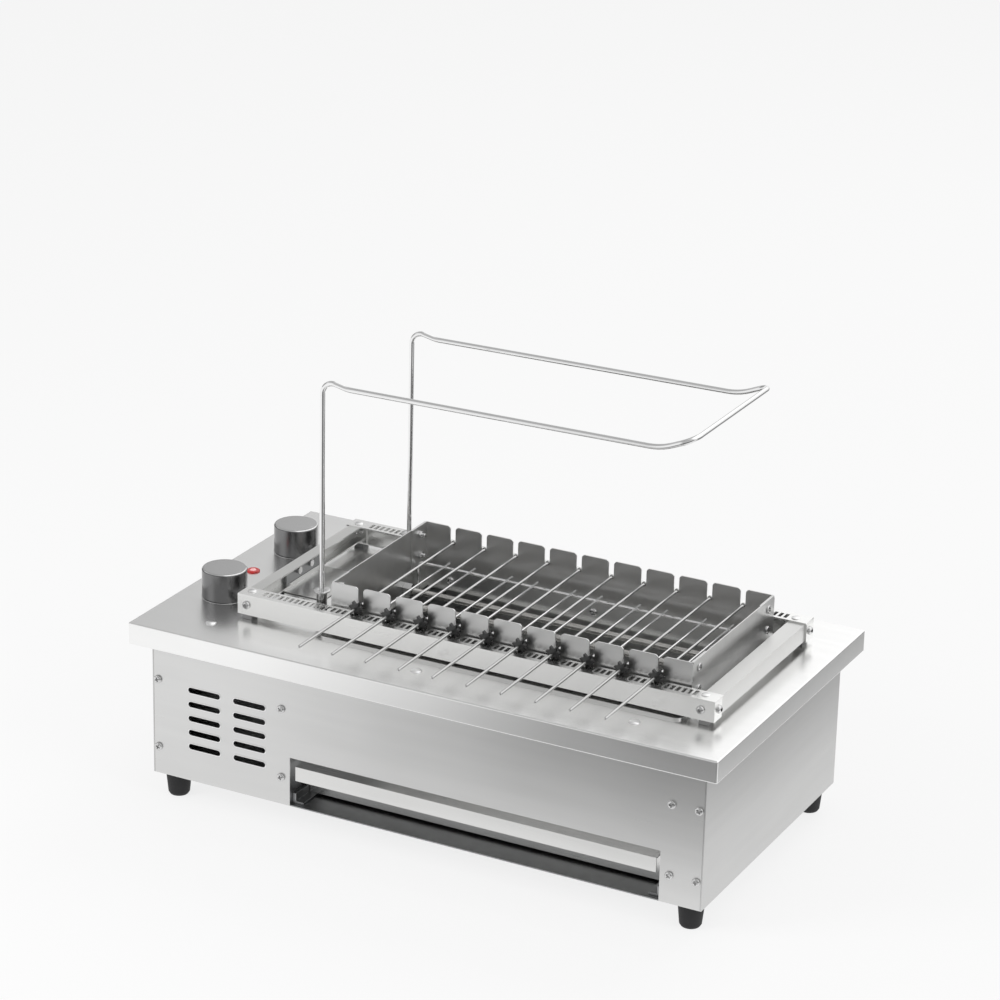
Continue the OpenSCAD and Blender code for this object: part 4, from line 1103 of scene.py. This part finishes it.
@dataclass
class Controls:
    """Knobs, their shafts and controls, and the lamp. In millimetres."""

    bench: Bench
    knob_x: float = -257.3
    knob_ys: Pair = (-52.0, 80.0)
    plate_top: float = 180.0
    knob_r: float = 21.5
    knob_h: float = 28.0
    gap: float = 0.8
    bore_r: float = 3.05
    bore_top: float = 23.0
    hub_r: float = 6.5
    hub_low: float = 6.0
    dot_in: float = 4.6
    dot: Outline = ((0.0, -0.3), (1.2, -0.3), (1.2, 0.0), (0.9, 0.12), (0.0, 0.15))
    facets: int = 96
    lamp_at: Pair = (-266.0, 14.0)
    bezel: Outline = (
        (3.5, -2.0), (0.0, -2.0), (0.0, -24.0), (4.5, -24.0), (4.5, 0.0), (6.5, 0.0), (6.5, 1.1), (5.6, 1.6),
        (3.5, 1.6),
    )
    bezel_radii: tuple[float, ...] = (0.0, 0.0, 0.4, 0.0, 0.1, 0.4, 0.3, 0.2)
    lens: Outline = ((0.0, -2.0), (3.3, -2.0), (3.3, 1.2), (2.4, 2.0), (0.0, 2.2))

    def build(self) -> None:
        """Makes every piece of the controls."""
        for node, y in zip(("knob_front", "knob_rear"), self.knob_ys):
            self.knob(node, y)
        self.bench.soften(
            ("switch_shaft", "switch_spindle", "screw_steel", 0.3),
            ("thermostat_shaft", "thermostat_spindle", "screw_steel", 0.3),
            ("motor_switch", "switch_body", "black_plastic", 0.5),
            ("thermostat", "thermostat_body", "white_ceramic", 0.5),
        )
        self.lamp()

    def knob(self, node: str, y: float) -> None:
        """One knob of one turned metal in three tones: painted shade on its sides, a painted highlight ring on
        its edge and a lighter painted top; with a pointer dot and the ring that it stands over.
        """
        r, h, n = self.knob_r, self.knob_h, self.facets
        centre = (self.knob_x * MM, y * MM, 0.0)
        place = Matrix.Translation(mm(self.knob_x, y, self.plate_top + self.gap))
        cap = [
            (0.0, self.bore_top), (self.bore_r, self.bore_top), (self.bore_r, self.hub_low),
            (self.hub_r, self.hub_low), (self.hub_r, 0.4), (self.hub_r + 0.4, 0.0), (r - 2.5, 0.0),
            (r - 0.1, 0.0), (r, 0.6), (r, h - 1.2), (r - 1.2, h), (0.0, h),
        ]
        cap_radii = [0.0, 0.0, 0.0, 0.2, 0.1, 0.0, 0.2, 0.4, 0.35, 0.35]
        edge = [(r - 0.25, h - 1.45), (r, h - 1.25), (r - 1.15, h), (r - 1.4, h - 0.2)]
        top = [(0.0, h - 0.3), (r - 1.5, h - 0.3), (r - 1.4, h), (r - 1.6, h + 0.05), (0.0, h + 0.05)]
        seat = [(5.0, 0.02), (r + 0.5, 0.02), (r + 0.5, 0.3), (r - 0.4, 0.5), (5.0, 0.5)]
        # Painted light on one turned metal: the sides darkened as painted shade, the edge ring near white as a
        # painted highlight, the top lightened as painted light.
        shaded_sides = TurnedMetal(f"{node}_turned", (0.21, 0.21, 0.212), 0.24, centre, 0.25)
        bright = TurnedMetal(f"{node}_edge", (0.86, 0.86, 0.86), 0.18, centre, 0.1)
        grey = TurnedMetal(f"{node}_top", (0.60, 0.60, 0.60), 0.24, centre, 0.4)
        at = place @ Matrix.Translation(mm(r - self.dot_in, 0.0, h))
        base = Matrix.Translation(mm(self.knob_x, y, self.plate_top))
        turned = self.bench.turned
        turned(f"{node}_cap", cap, n, place, cap_radii, shaded_sides, node, sharp=30.0)
        turned(f"{node}_edge_ring", edge, n, place, [0.1, 0.25, 0.0], bright, like=node, closed=True)
        turned(f"{node}_disc", top, n, place, [0.0, 0.02, 0.02], grey, like=node, sharp=0.0)
        turned(f"{node}_pointer", self.dot, 24, at, [0.0, 0.05, 0.1], "screw_steel", like=node)
        turned(
            f"{node}_seat_ring", seat, n, base, [0.0, 0.1, 0.2, 0.0], "screw_steel", like="top_plate",
            closed=True,
        )

    def lamp(self) -> None:
        """The red lamp: a flanged body and a low lens."""
        place = Matrix.Translation(mm(*self.lamp_at, self.plate_top))
        self.bench.turned(
            "lamp_ring", self.bezel, 48, place, self.bezel_radii, "lamp_plastic", "lamp_bezel",
            closed=True, sharp=40.0,
        )
        self.bench.turned("lamp_dome", self.lens, 48, place, [0.1, 0.5, 0.9], "lamp_glass", "lamp_lens")


@dataclass
class Hearth:
    """The firebox, its well, the heating tube, the grill net and the rack's sockets. In millimetres."""

    bench: Bench
    middle_y: float = 20.3
    left: float = -130.62
    right: float = 236.22
    half_y: float = 90.0
    plate_top: float = 180.0
    flange_top: float = 182.0
    wall_top: float = 226.8
    sheet: float = 1.2
    pitch: float = 33.84
    middle_x: float = 52.8
    screw_in: float = 14.0
    screw_drop: float = 9.0
    screw_rise: float = 15.0
    screw_turns: tuple[float, ...] = (30.0, 20.0, 9.0)
    well_screw_pitch: float = 154.0
    well_screw_turns: Pair = (40.0, 15.0)
    nut_r: float = 4.04
    nut_h: float = 2.6
    tube_r: float = 3.25
    tube_y: float = 48.0
    tube_z: float = 171.0
    tube_tail: float = 26.0
    tube_right: float = 22.0
    tube_turn: float = 48.0
    net_r: float = 1.1
    net_bar_r: float = 1.5
    net_z: float = 194.0
    net_bar_z: float = 191.7
    net_rod_half: float = 77.0
    net_bar_y: float = 70.0
    net_pair_half: float = 13.8
    net_ledge_z: float = 163.2
    net_foot_x: float = 4.2
    net_turn_r: float = 5.0
    rack_x: float = -144.42
    rack_y: float = 83.5
    socket: Outline = (
        (0.0, -7.0), (2.6, -7.0), (2.6, 32.3), (5.0, 32.3), (5.0, 2.0), (6.5, 2.0), (6.5, 0.0), (5.0, 0.0),
        (5.0, -10.0), (0.0, -10.0),
    )
    socket_radii: tuple[float, ...] = (0.0, 0.0, 0.3, 0.0, 0.5, 0.0, 0.0, 0.4)
    socket_nut_r: float = 9.24
    socket_nut_z: Pair = (-5.5, -1.5)
    washer: Outline = ((2.6, 32.3), (8.0, 32.3), (8.0, 33.8), (2.6, 33.8))
    washer_radii: tuple[float, ...] = (0.4, 0.6, 0.2)

    def build(self) -> None:
        """Makes every piece of the hearth."""
        self.bench.soften(
            ("fire_well", "well_tray", "well_sheet", 0.5),
            ("firebox_front", "firebox_front_wall", "firebox_sheet", 0.3),
            ("firebox_rear", "firebox_rear_wall", "firebox_sheet", 0.3),
            ("firebox_left", "firebox_left_wall", "firebox_sheet", 0.35),
            ("firebox_right", "firebox_right_wall", "firebox_sheet", 0.35),
            ("element_fittings", "tube_fittings", "socket_steel", 0.3),
        )
        self.screws()
        self.tube()
        self.net()
        self.sockets()

    def screws(self) -> None:
        """Low heads and nuts at the firebox's corners, and pan heads inside the well."""
        corner, nuts, inside = [], [], []
        by_height, by_end, by_side = self.screw_turns
        by_place, first = self.well_screw_turns
        for side, x, way, back in (
            (-1, self.left, Direction.LEFT, Direction.RIGHT), (1, self.right, Direction.RIGHT, Direction.LEFT),
        ):
            for end in SIDES:
                y = self.middle_y + end * (self.half_y - self.screw_in)
                for k, z in enumerate((self.wall_top - self.screw_drop, self.flange_top + self.screw_rise)):
                    spot, turn = mm(x, y, z), by_height * k + by_end * end + by_side * side
                    corner.append((spot, way, turn))
                    nuts.append((spot + back.vector * 2.0 * self.sheet * MM, back, turn))
        for k in (-1, 0, 1):
            x = self.middle_x + k * self.well_screw_pitch
            for end, way in ((-1, Direction.BACK), (1, Direction.FRONT)):
                y = self.middle_y + end * (self.half_y - self.sheet)
                inside.append((mm(x, y, self.tube_z), way, by_place * k + first))
        nut = rolled(Shape().prism(hexagon(self.nut_r), 0.0, self.nut_h).made("nut_template"), 0.3 * MM)
        low = Fastener(height=1.8)
        self.bench.strew("firebox_screw_heads", low, corner, "screw_steel", "firebox_screws")
        self.bench.strew("well_screw_heads", Fastener(), inside, "screw_steel", "well_screws")
        self.bench.strew("firebox_nuts", nut, nuts, "screw_steel", like="firebox_screws")

    def tube(self) -> None:
        """The heating tube in four runs."""
        start = mm(self.left - self.tube_tail, self.middle_y - self.tube_y, self.tube_z)
        end = self.right - self.tube_right
        long, short = end - (self.left - self.tube_tail), end - (self.left + self.tube_turn)
        turn = self.tube_y / 3.0
        walk = WireWalk(Matrix.Translation(start) @ Matrix.Rotation(math.pi / 2.0, 4, "Y"))
        walk.run(long).roll(-90.0).bend(180.0, turn).run(short)
        walk.roll(180.0).bend(180.0, turn).run(short).roll(180.0).bend(180.0, turn).run(long)
        piece = self.bench.wire("heating_tube", [walk.points], self.tube_r, "heater_tube", facets=28)
        self.bench.fit(piece, "heater_tube", "heating_element", "element_bends")

    def net(self) -> None:
        """Rods in pairs on two bars with turned-down feet."""
        near, far = self.middle_y - self.net_rod_half, self.middle_y + self.net_rod_half
        xs = [
            self.middle_x + pair * 2.0 * self.pitch + side * self.net_pair_half
            for pair in (-2, -1, 0, 1, 2) for side in SIDES
        ]
        rods = [[mm(x, y, self.net_z) for y in (near, far)] for x in xs]
        bars = []
        rise = self.net_bar_z - self.net_ledge_z - self.net_turn_r
        span = self.right - self.left - 2.0 * (self.net_foot_x + self.net_turn_r)
        for side in SIDES:
            foot = mm(self.left + self.net_foot_x, self.middle_y + side * self.net_bar_y, self.net_ledge_z)
            walk = WireWalk(Matrix.Translation(foot) @ Matrix.Rotation(math.pi, 4, "Z"))
            walk.run(rise).bend(90.0, self.net_turn_r).run(span).bend(90.0, self.net_turn_r).run(rise)
            bars.append(walk.points)
        first = self.bench.wire("net_rods", rods, self.net_r, "bright_wire", facets=16)
        second = self.bench.wire("net_bars", bars, self.net_bar_r, "bright_wire", facets=18)
        self.bench.fit(first, "bright_wire", "grill_net")
        self.bench.fit(second, "bright_wire", like="grill_net")

    def sockets(self) -> None:
        """Turned sockets for the rack's legs, and the washers on them."""
        socket, washer = Shape(), Shape()
        for side in SIDES:
            place = Matrix.Translation(mm(self.rack_x, self.middle_y + side * self.rack_y, self.plate_top))
            socket.lathe(self.socket, 40, place, self.socket_radii)
            socket.prism(hexagon(self.socket_nut_r), *self.socket_nut_z, place @ IN_MM)
            washer.lathe(self.washer, 48, place, self.washer_radii, closed=True)
        self.bench.fit(socket.made("rack_socket_tubes", 40.0), "socket_steel", "rack_sockets")
        self.bench.fit(washer.made("rack_washers", 40.0), "screw_steel", "socket_washers")


@dataclass
class SlidingFrame:
    """The slotted frame, its bolts and rivets, and what drives it. In millimetres."""

    bench: Bench
    middle_y: float = 20.3
    left: float = -219.38
    right: float = 267.62
    half_y: float = 110.5
    end_y: float = 101.5
    bolt_z: float = 194.2
    top: float = 204.2
    bolt_xs: Pair = (-209.88, 254.12)
    face_bolt_turn: float = 12.0
    end_bolt_turn: float = 25.0
    rivet_y: float = 100.06
    web_x: Pair = (-216.38, -213.38)
    guard_x: Pair = (-229.0, -170.0)
    guard_half: float = 37.3
    guard_z: float = 180.4
    guard_t: float = 0.8
    guard_lip: float = 5.0
    guard_gap: float = 0.1

    def build(self) -> None:
        """Makes every piece of the frame and the drive."""
        self.bench.soften(
            ("frame_front_rail", "front_rail", "rail_sheet", 0.45),
            ("frame_rear_rail", "rear_rail", "rail_sheet", 0.45),
            ("frame_left_rail", "left_rail", "cross_rail_sheet", 0.4),
            ("frame_right_rail", "right_rail", "cross_rail_sheet", 0.4),
            ("drive_yoke", "yoke_plate", "inner_sheet", 0.4),
            ("yoke_bolts", "yoke_bolt_heads", "screw_steel", 0.3),
            ("glide_pads", "glide_blocks", "glide_plastic", 0.5),
            ("gearmotor", "motor_can", "motor_paint", 0.8),
            ("motor_bracket", "motor_shelf", "inner_sheet", 0.5),
            ("crank", "crank_disc", "crank_steel", 0.5),
            ("crank_roller", "crank_roller_bush", "roller_brass", 0.4),
        )
        self.bolts()
        self.rivets()
        self.guard()

    def guard(self) -> None:
        """A folded sheet on each side of the yoke's web, which keeps fat out of the plate's opening."""
        low, high, lip = self.guard_z, self.guard_z + self.guard_t, self.guard_z + self.guard_lip
        front, back = self.middle_y - self.guard_half, self.middle_y + self.guard_half
        shape = Shape()
        lay = Matrix.Rotation(math.pi / 2.0, 4, "X") @ IN_MM
        for web, end, side in zip(self.web_x, self.guard_x, SIDES):
            start = web + side * self.guard_gap
            inner = start + side * self.guard_t
            outline = [(start, lip), (start, low), (end, low), (end, high), (inner, high), (inner, lip)]
            shape.prism(outline, -back, -front, lay)
        self.bench.fit(rolled(shape.made("slot_guard"), 0.25 * MM), "cross_rail_sheet", like="drive_yoke")

    def bolts(self) -> None:
        """Button heads with a hexagon recess in the faces and the ends of the slotted rails."""
        bolt = Fastener(height=3.2, length=7.0, drive=Drive.HEXAGON, rim=0.25)
        spots = []
        for side, way in ((-1, Direction.FRONT), (1, Direction.BACK)):
            for x in self.bolt_xs:
                at = mm(x, self.middle_y + side * self.half_y, self.bolt_z)
                spots.append((at, way, self.face_bolt_turn))
            for x, end in ((self.left, Direction.LEFT), (self.right, Direction.RIGHT)):
                at = mm(x, self.middle_y + side * self.end_y, self.bolt_z)
                spots.append((at, end, self.end_bolt_turn))
        self.bench.strew("frame_bolt_heads", bolt, spots, "screw_steel", "frame_bolts")

    def rivets(self) -> None:
        """Flat rivets on the frame's corners."""
        rivet = Fastener(height=0.8, length=4.0, drive=Drive.NONE, flat=True)
        spots = [
            (mm(x, self.middle_y + side * self.rivet_y, self.top), Direction.UP, 0.0)
            for side in SIDES for x in self.bolt_xs
        ]
        self.bench.strew("frame_rivet_heads", rivet, spots, "rim_steel", "frame_rivets")


@dataclass
class Skewers:
    """Skewers with star wheels. In millimetres, along Y about the skewer's axis."""

    bench: Bench
    count: int = 10
    first_x: float = -99.48
    pitch: float = 33.84
    middle_y: float = 20.3
    axle_z: float = 209.7
    rod_r: float = 1.4
    front: float = -201.3
    back: float = 93.0
    tip: float = 6.0
    point_r: float = 0.42
    ring: Pair = (90.3, 91.9)
    ring_r: float = 2.5
    wheel_y: float = -98.2
    wheel_r: float = 7.4
    root_share: float = 0.56
    tip_w: float = 0.9
    wheel_w: float = 4.0
    hub: Outline = ((1.45, -96.8), (3.2, -96.8), (3.2, -90.3), (1.45, -90.3))

    def build(self) -> None:
        """Makes one rod and one wheel, and copies them to every skewer's body."""
        along_y = Matrix.Rotation(-math.pi / 2.0, 4, "X")
        rod, wheel = self.rod(along_y), self.wheel(along_y)
        for k in range(self.count):
            node = f"skewer_{k + 1:02d}"
            spot = mm(self.first_x + k * self.pitch, self.middle_y, self.axle_z)
            for template, name, finish, stands in (
                (rod, f"{node}_rod", "skewer_steel", (node,)),
                (wheel, f"{node}_wheel", "wheel_steel", ()),
            ):
                mesh = template.data.copy()
                mesh.transform(Matrix.Translation(spot))
                self.bench.fit(linked(name, mesh), finish, *stands, like=node)
        dropped(rod, wheel)

    def rod(self, along_y: Matrix) -> bpy.types.Object:
        """The rod: a round end in front, a ring behind the firebox and a point at the back."""
        r, end, (near, far) = self.rod_r, self.back + self.tip, self.ring
        outline = [
            (0.0, self.front), (r, self.front), (r, near), (self.ring_r, near), (self.ring_r, far), (r, far),
            (r, self.back), (self.point_r, end), (0.0, end),
        ]
        radii = [1.2, 0.0, 0.3, 0.3, 0.0, 0.5, 0.2]
        return Shape().lathe(outline, 20, along_y, radii).made("rod_template", 40.0)

    def wheel(self, along_y: Matrix) -> bpy.types.Object:
        """The star wheel, laid down to face the front, and its hub."""
        host = linked("wheel_host", bpy.data.meshes.new("wheel_host"))
        star = rolled(self.bench.makers.wheel.grow(host, "star", {
            "Tip Radius": self.wheel_r * MM, "Root Radius": self.wheel_r * self.root_share * MM,
            "Tip Turn": math.atan(self.tip_w / 2.0 / self.wheel_r), "Width": self.wheel_w * MM,
            "Finish": self.bench.finishes["wheel_steel"],
        }), 0.3 * MM)
        middle = mm(0.0, self.wheel_y + self.wheel_w / 2.0, 0.0)
        star.data.transform(Matrix.Translation(middle) @ Matrix.Rotation(math.pi / 2.0, 4, "X"))
        hub = Shape().lathe(self.hub, 32, along_y, [0.5, 0.5, 0.0], closed=True).made("hub")
        joined = bmesh.new()
        for piece in (star, hub):
            joined.from_mesh(piece.data)
        dropped(star, hub)
        mesh = bpy.data.meshes.new("wheel_template")
        joined.to_mesh(mesh)
        joined.free()
        smoothed(mesh, 31.0)
        return linked("wheel_template", mesh)


@dataclass
class Rack:
    """The wire rack that stands in two sockets. In millimetres."""

    bench: Bench
    foot: Point = (-144.42, 83.5, 173.0)
    middle_y: float = 20.3
    wire_r: float = 2.5
    leg: float = 233.5
    arch: Pair = (102.0, 11.0)
    dip: float = 9.0
    lead: Pair = (12.6, 40.0)
    side: float = 296.0
    lift: Pair = (22.0, 60.0)
    tip: float = 8.0
    corner_r: float = 14.0

    def build(self) -> None:
        """One wire from foot to foot."""
        x, y, z = self.foot
        walk = WireWalk(Matrix.Translation(mm(x, -y, z)))
        walk.run(self.leg).roll(180.0).bend(*self.arch).run(self.dip).roll(180.0).bend(*self.lead, steps=6)
        walk.run(self.side).bend(*self.lift, steps=10).run(self.tip).roll(-90.0).bend(90.0, self.corner_r)
        other = [Vector((p.x, -p.y, p.z)) for p in reversed(walk.points)]
        path = [p + mm(0.0, self.middle_y, 0.0) for p in walk.points + other]
        piece = self.bench.wire("rack_wire", [path], self.wire_r, "bright_wire", facets=32)
        self.bench.fit(piece, "bright_wire", "wire_rack")


@dataclass
class Drawer:
    """The drip drawer and the angles that it slides on."""

    bench: Bench

    def build(self) -> None:
        """Rounds the drawer's folded edges."""
        self.bench.soften(
            ("drip_drawer", "drip_tray", "drawer_sheet", 0.4, 3),
            ("drawer_guides", "tray_guides", "inner_sheet", 0.4),
        )


# Studio


@dataclass
class Studio:
    """Floor, world, lamps and camera, in metres.

    What metal shows depends on where it looks. Each span is a range of a cosine, or of a place on
    the floor, over which one level eases into the next.
    """

    camera_at: Point = (1.3680, -2.6569, 1.4578)
    camera_way: Point = (-0.4258, 0.8308, -0.3584)
    camera_roll: float = 1.352
    lens_share: float = 3.50174
    sensor: float = 36.0
    floor_half: float = 30.0
    floor_tone: float = 0.82
    floor_grey: float = 0.14
    floor_white: float = 0.80
    mirror_white: float = 0.08
    ahead_x: Pair = (-0.42, 0.08)
    ahead_y: Pair = (0.16, 0.52)
    ahead_shade: float = 0.95
    beside_x: Pair = (0.33, 0.50)
    beside_y: Pair = (-0.10, 0.22)
    beside_shade: float = 0.85
    soft_level: float = 0.6
    back_level: float = 0.97
    upper_gain: float = 0.31
    upper_rise: Pair = (0.30, 0.46)
    side_loss: float = 0.64
    side_span: Pair = (-0.12, 0.12)
    front_span: Pair = (0.2, 0.6)
    front_level: float = 0.94
    right_loss: float = 0.42
    right_span: Pair = (-0.52, -0.28)
    band_level: float = 0.45
    band_start: Pair = (0.50, 0.68)
    band_end: Pair = (0.88, 0.97)
    band_side: Pair = (-0.06, 0.14)
    lamp_aim: Point = (0.0, 0.0, 0.15)
    boxes: tuple[tuple[str, Point, float, float], ...] = (
        ("soft_box_left", (-1.2, -1.4, 1.1), 0.9, 16.0),
        ("soft_box_right", (2.2, -0.4, 1.6), 1.5, 16.0),
        ("soft_box_back", (0.4, 2.4, 2.6), 1.6, 22.0),
    )

    def build(self) -> None:
        """Sets up everything round the object."""
        self.camera()
        self.floor()
        self.world()
        self.lamps()
        bpy.context.scene.view_settings.view_transform = "Standard"

    def camera(self) -> None:
        """The photograph's viewpoint."""
        data = bpy.data.cameras.new("viewpoint")
        data.sensor_width = self.sensor
        data.lens = self.lens_share * self.sensor
        data.clip_end = 100.0
        camera = linked("viewpoint", data)
        way = Vector(self.camera_way).normalized()
        level = way.cross(Direction.UP.vector).normalized()
        above = level.cross(way)
        roll = math.radians(self.camera_roll)
        right = level * math.cos(roll) + above * math.sin(roll)
        up = above * math.cos(roll) - level * math.sin(roll)
        turn = Matrix((right, up, -way)).transposed().to_4x4()
        camera.matrix_world = Matrix.Translation(self.camera_at) @ turn
        bpy.context.scene.camera = camera

    def floor(self) -> None:
        """A white floor that keeps the object's shadow, and that metal shows grey in places."""
        half = self.floor_half
        mesh = bpy.data.meshes.new("floor")
        corners = [(-half, -half, 0.0), (half, -half, 0.0), (half, half, 0.0), (-half, half, 0.0)]
        mesh.from_pydata(corners, [], [(0, 1, 2, 3)])
        material = bpy.data.materials.new("studio_floor")
        paint = Paint(material)
        tone = (self.floor_tone, self.floor_tone, self.floor_tone, 1.0)
        lit = paint.node("ShaderNodeBsdfDiffuse", None, {"Color": tone})
        white = paint.emitted("ShaderNodeEmission", 1.0)
        grey = paint.emitted("ShaderNodeEmission", self.floor_grey)
        across, along, mirrored = paint.along("X"), paint.along("Y"), paint.ray("Is Glossy Ray")
        ahead = across.eased(*self.ahead_x) * (0.0 - along).eased(*self.ahead_y)
        beside = across.eased(*self.beside_x) * along.eased(*self.beside_y)
        pale = paint.mixed(self.floor_white * paint.seen() + self.mirror_white * mirrored, lit, white)
        darkened = self.ahead_shade * ahead + self.beside_shade * beside
        shade = mirrored * darkened.at_most(self.ahead_shade)
        paint.node("ShaderNodeOutputMaterial", None, {"Surface": paint.mixed(shade, pale, grey)})
        mesh.materials.append(material)
        linked("floor", mesh)

    def world(self) -> None:
        """White behind the object; for metal, a studio with a grey side and a bright one."""
        world = bpy.data.worlds.new("studio")
        bpy.context.scene.world = world
        paint = Paint(world)
        way = paint.node("ShaderNodeTexCoord", output="Generated")

        def towards(*direction: float) -> Value:
            """How nearly a direction is looked at, as a cosine."""
            aim = tuple(Vector(direction).normalized())
            return paint.vectors("DOT_PRODUCT", way, aim, output="Value")

        side, rise = towards(-0.8308, -0.4258, 0.0), towards(0.0, 0.0, 1.0)
        front, right = towards(0.0, -1.0, 0.0), towards(1.0, 0.0, 0.0)
        back_level = self.back_level + self.upper_gain * rise.eased(*self.upper_rise)
        back_level = back_level - self.side_loss * side.eased(*self.side_span)
        front_level = self.front_level - self.right_loss * right.eased(*self.right_span)
        level = back_level + front.eased(*self.front_span) * (front_level - back_level)
        band = rise.eased(*self.band_start) - rise.eased(*self.band_end)
        shown = level + band * side.eased(*self.band_side) * (self.band_level - level)
        metal, white, soft = (
            paint.emitted("ShaderNodeBackground", 1.0, strength) for strength in (shown, 1.0, self.soft_level)
        )
        lit = paint.mixed(paint.seen(), soft, metal)
        outer = paint.mixed(paint.ray("Is Camera Ray"), lit, white)
        paint.node("ShaderNodeOutputWorld", None, {"Surface": outer})

    def lamps(self) -> None:
        """Soft boxes: one over the front left, one at the right and a low one at the back."""
        for name, at, size, power in self.boxes:
            data = bpy.data.lights.new(name, "AREA")
            data.shape = "SQUARE"
            data.size = size
            data.energy = power
            lamp = linked(name, data)
            lamp.visible_glossy = False
            lamp.rotation_mode = "QUATERNION"
            lamp.rotation_quaternion = (Vector(self.lamp_aim) - Vector(at)).to_track_quat("-Z", "Y")
            lamp.location = at


def main() -> None:
    """Builds the grill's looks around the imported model, then the studio."""
    logging.basicConfig(level=logging.INFO, format="%(name)s: %(message)s")
    dropped(*bpy.data.objects)
    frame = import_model()
    Studio().build()
    bench = Bench(frame)
    for assembly in (Case, Controls, Hearth, SlidingFrame, Skewers, Rack, Drawer):
        assembly(bench).build()


if __name__ == "__main__":
    main()
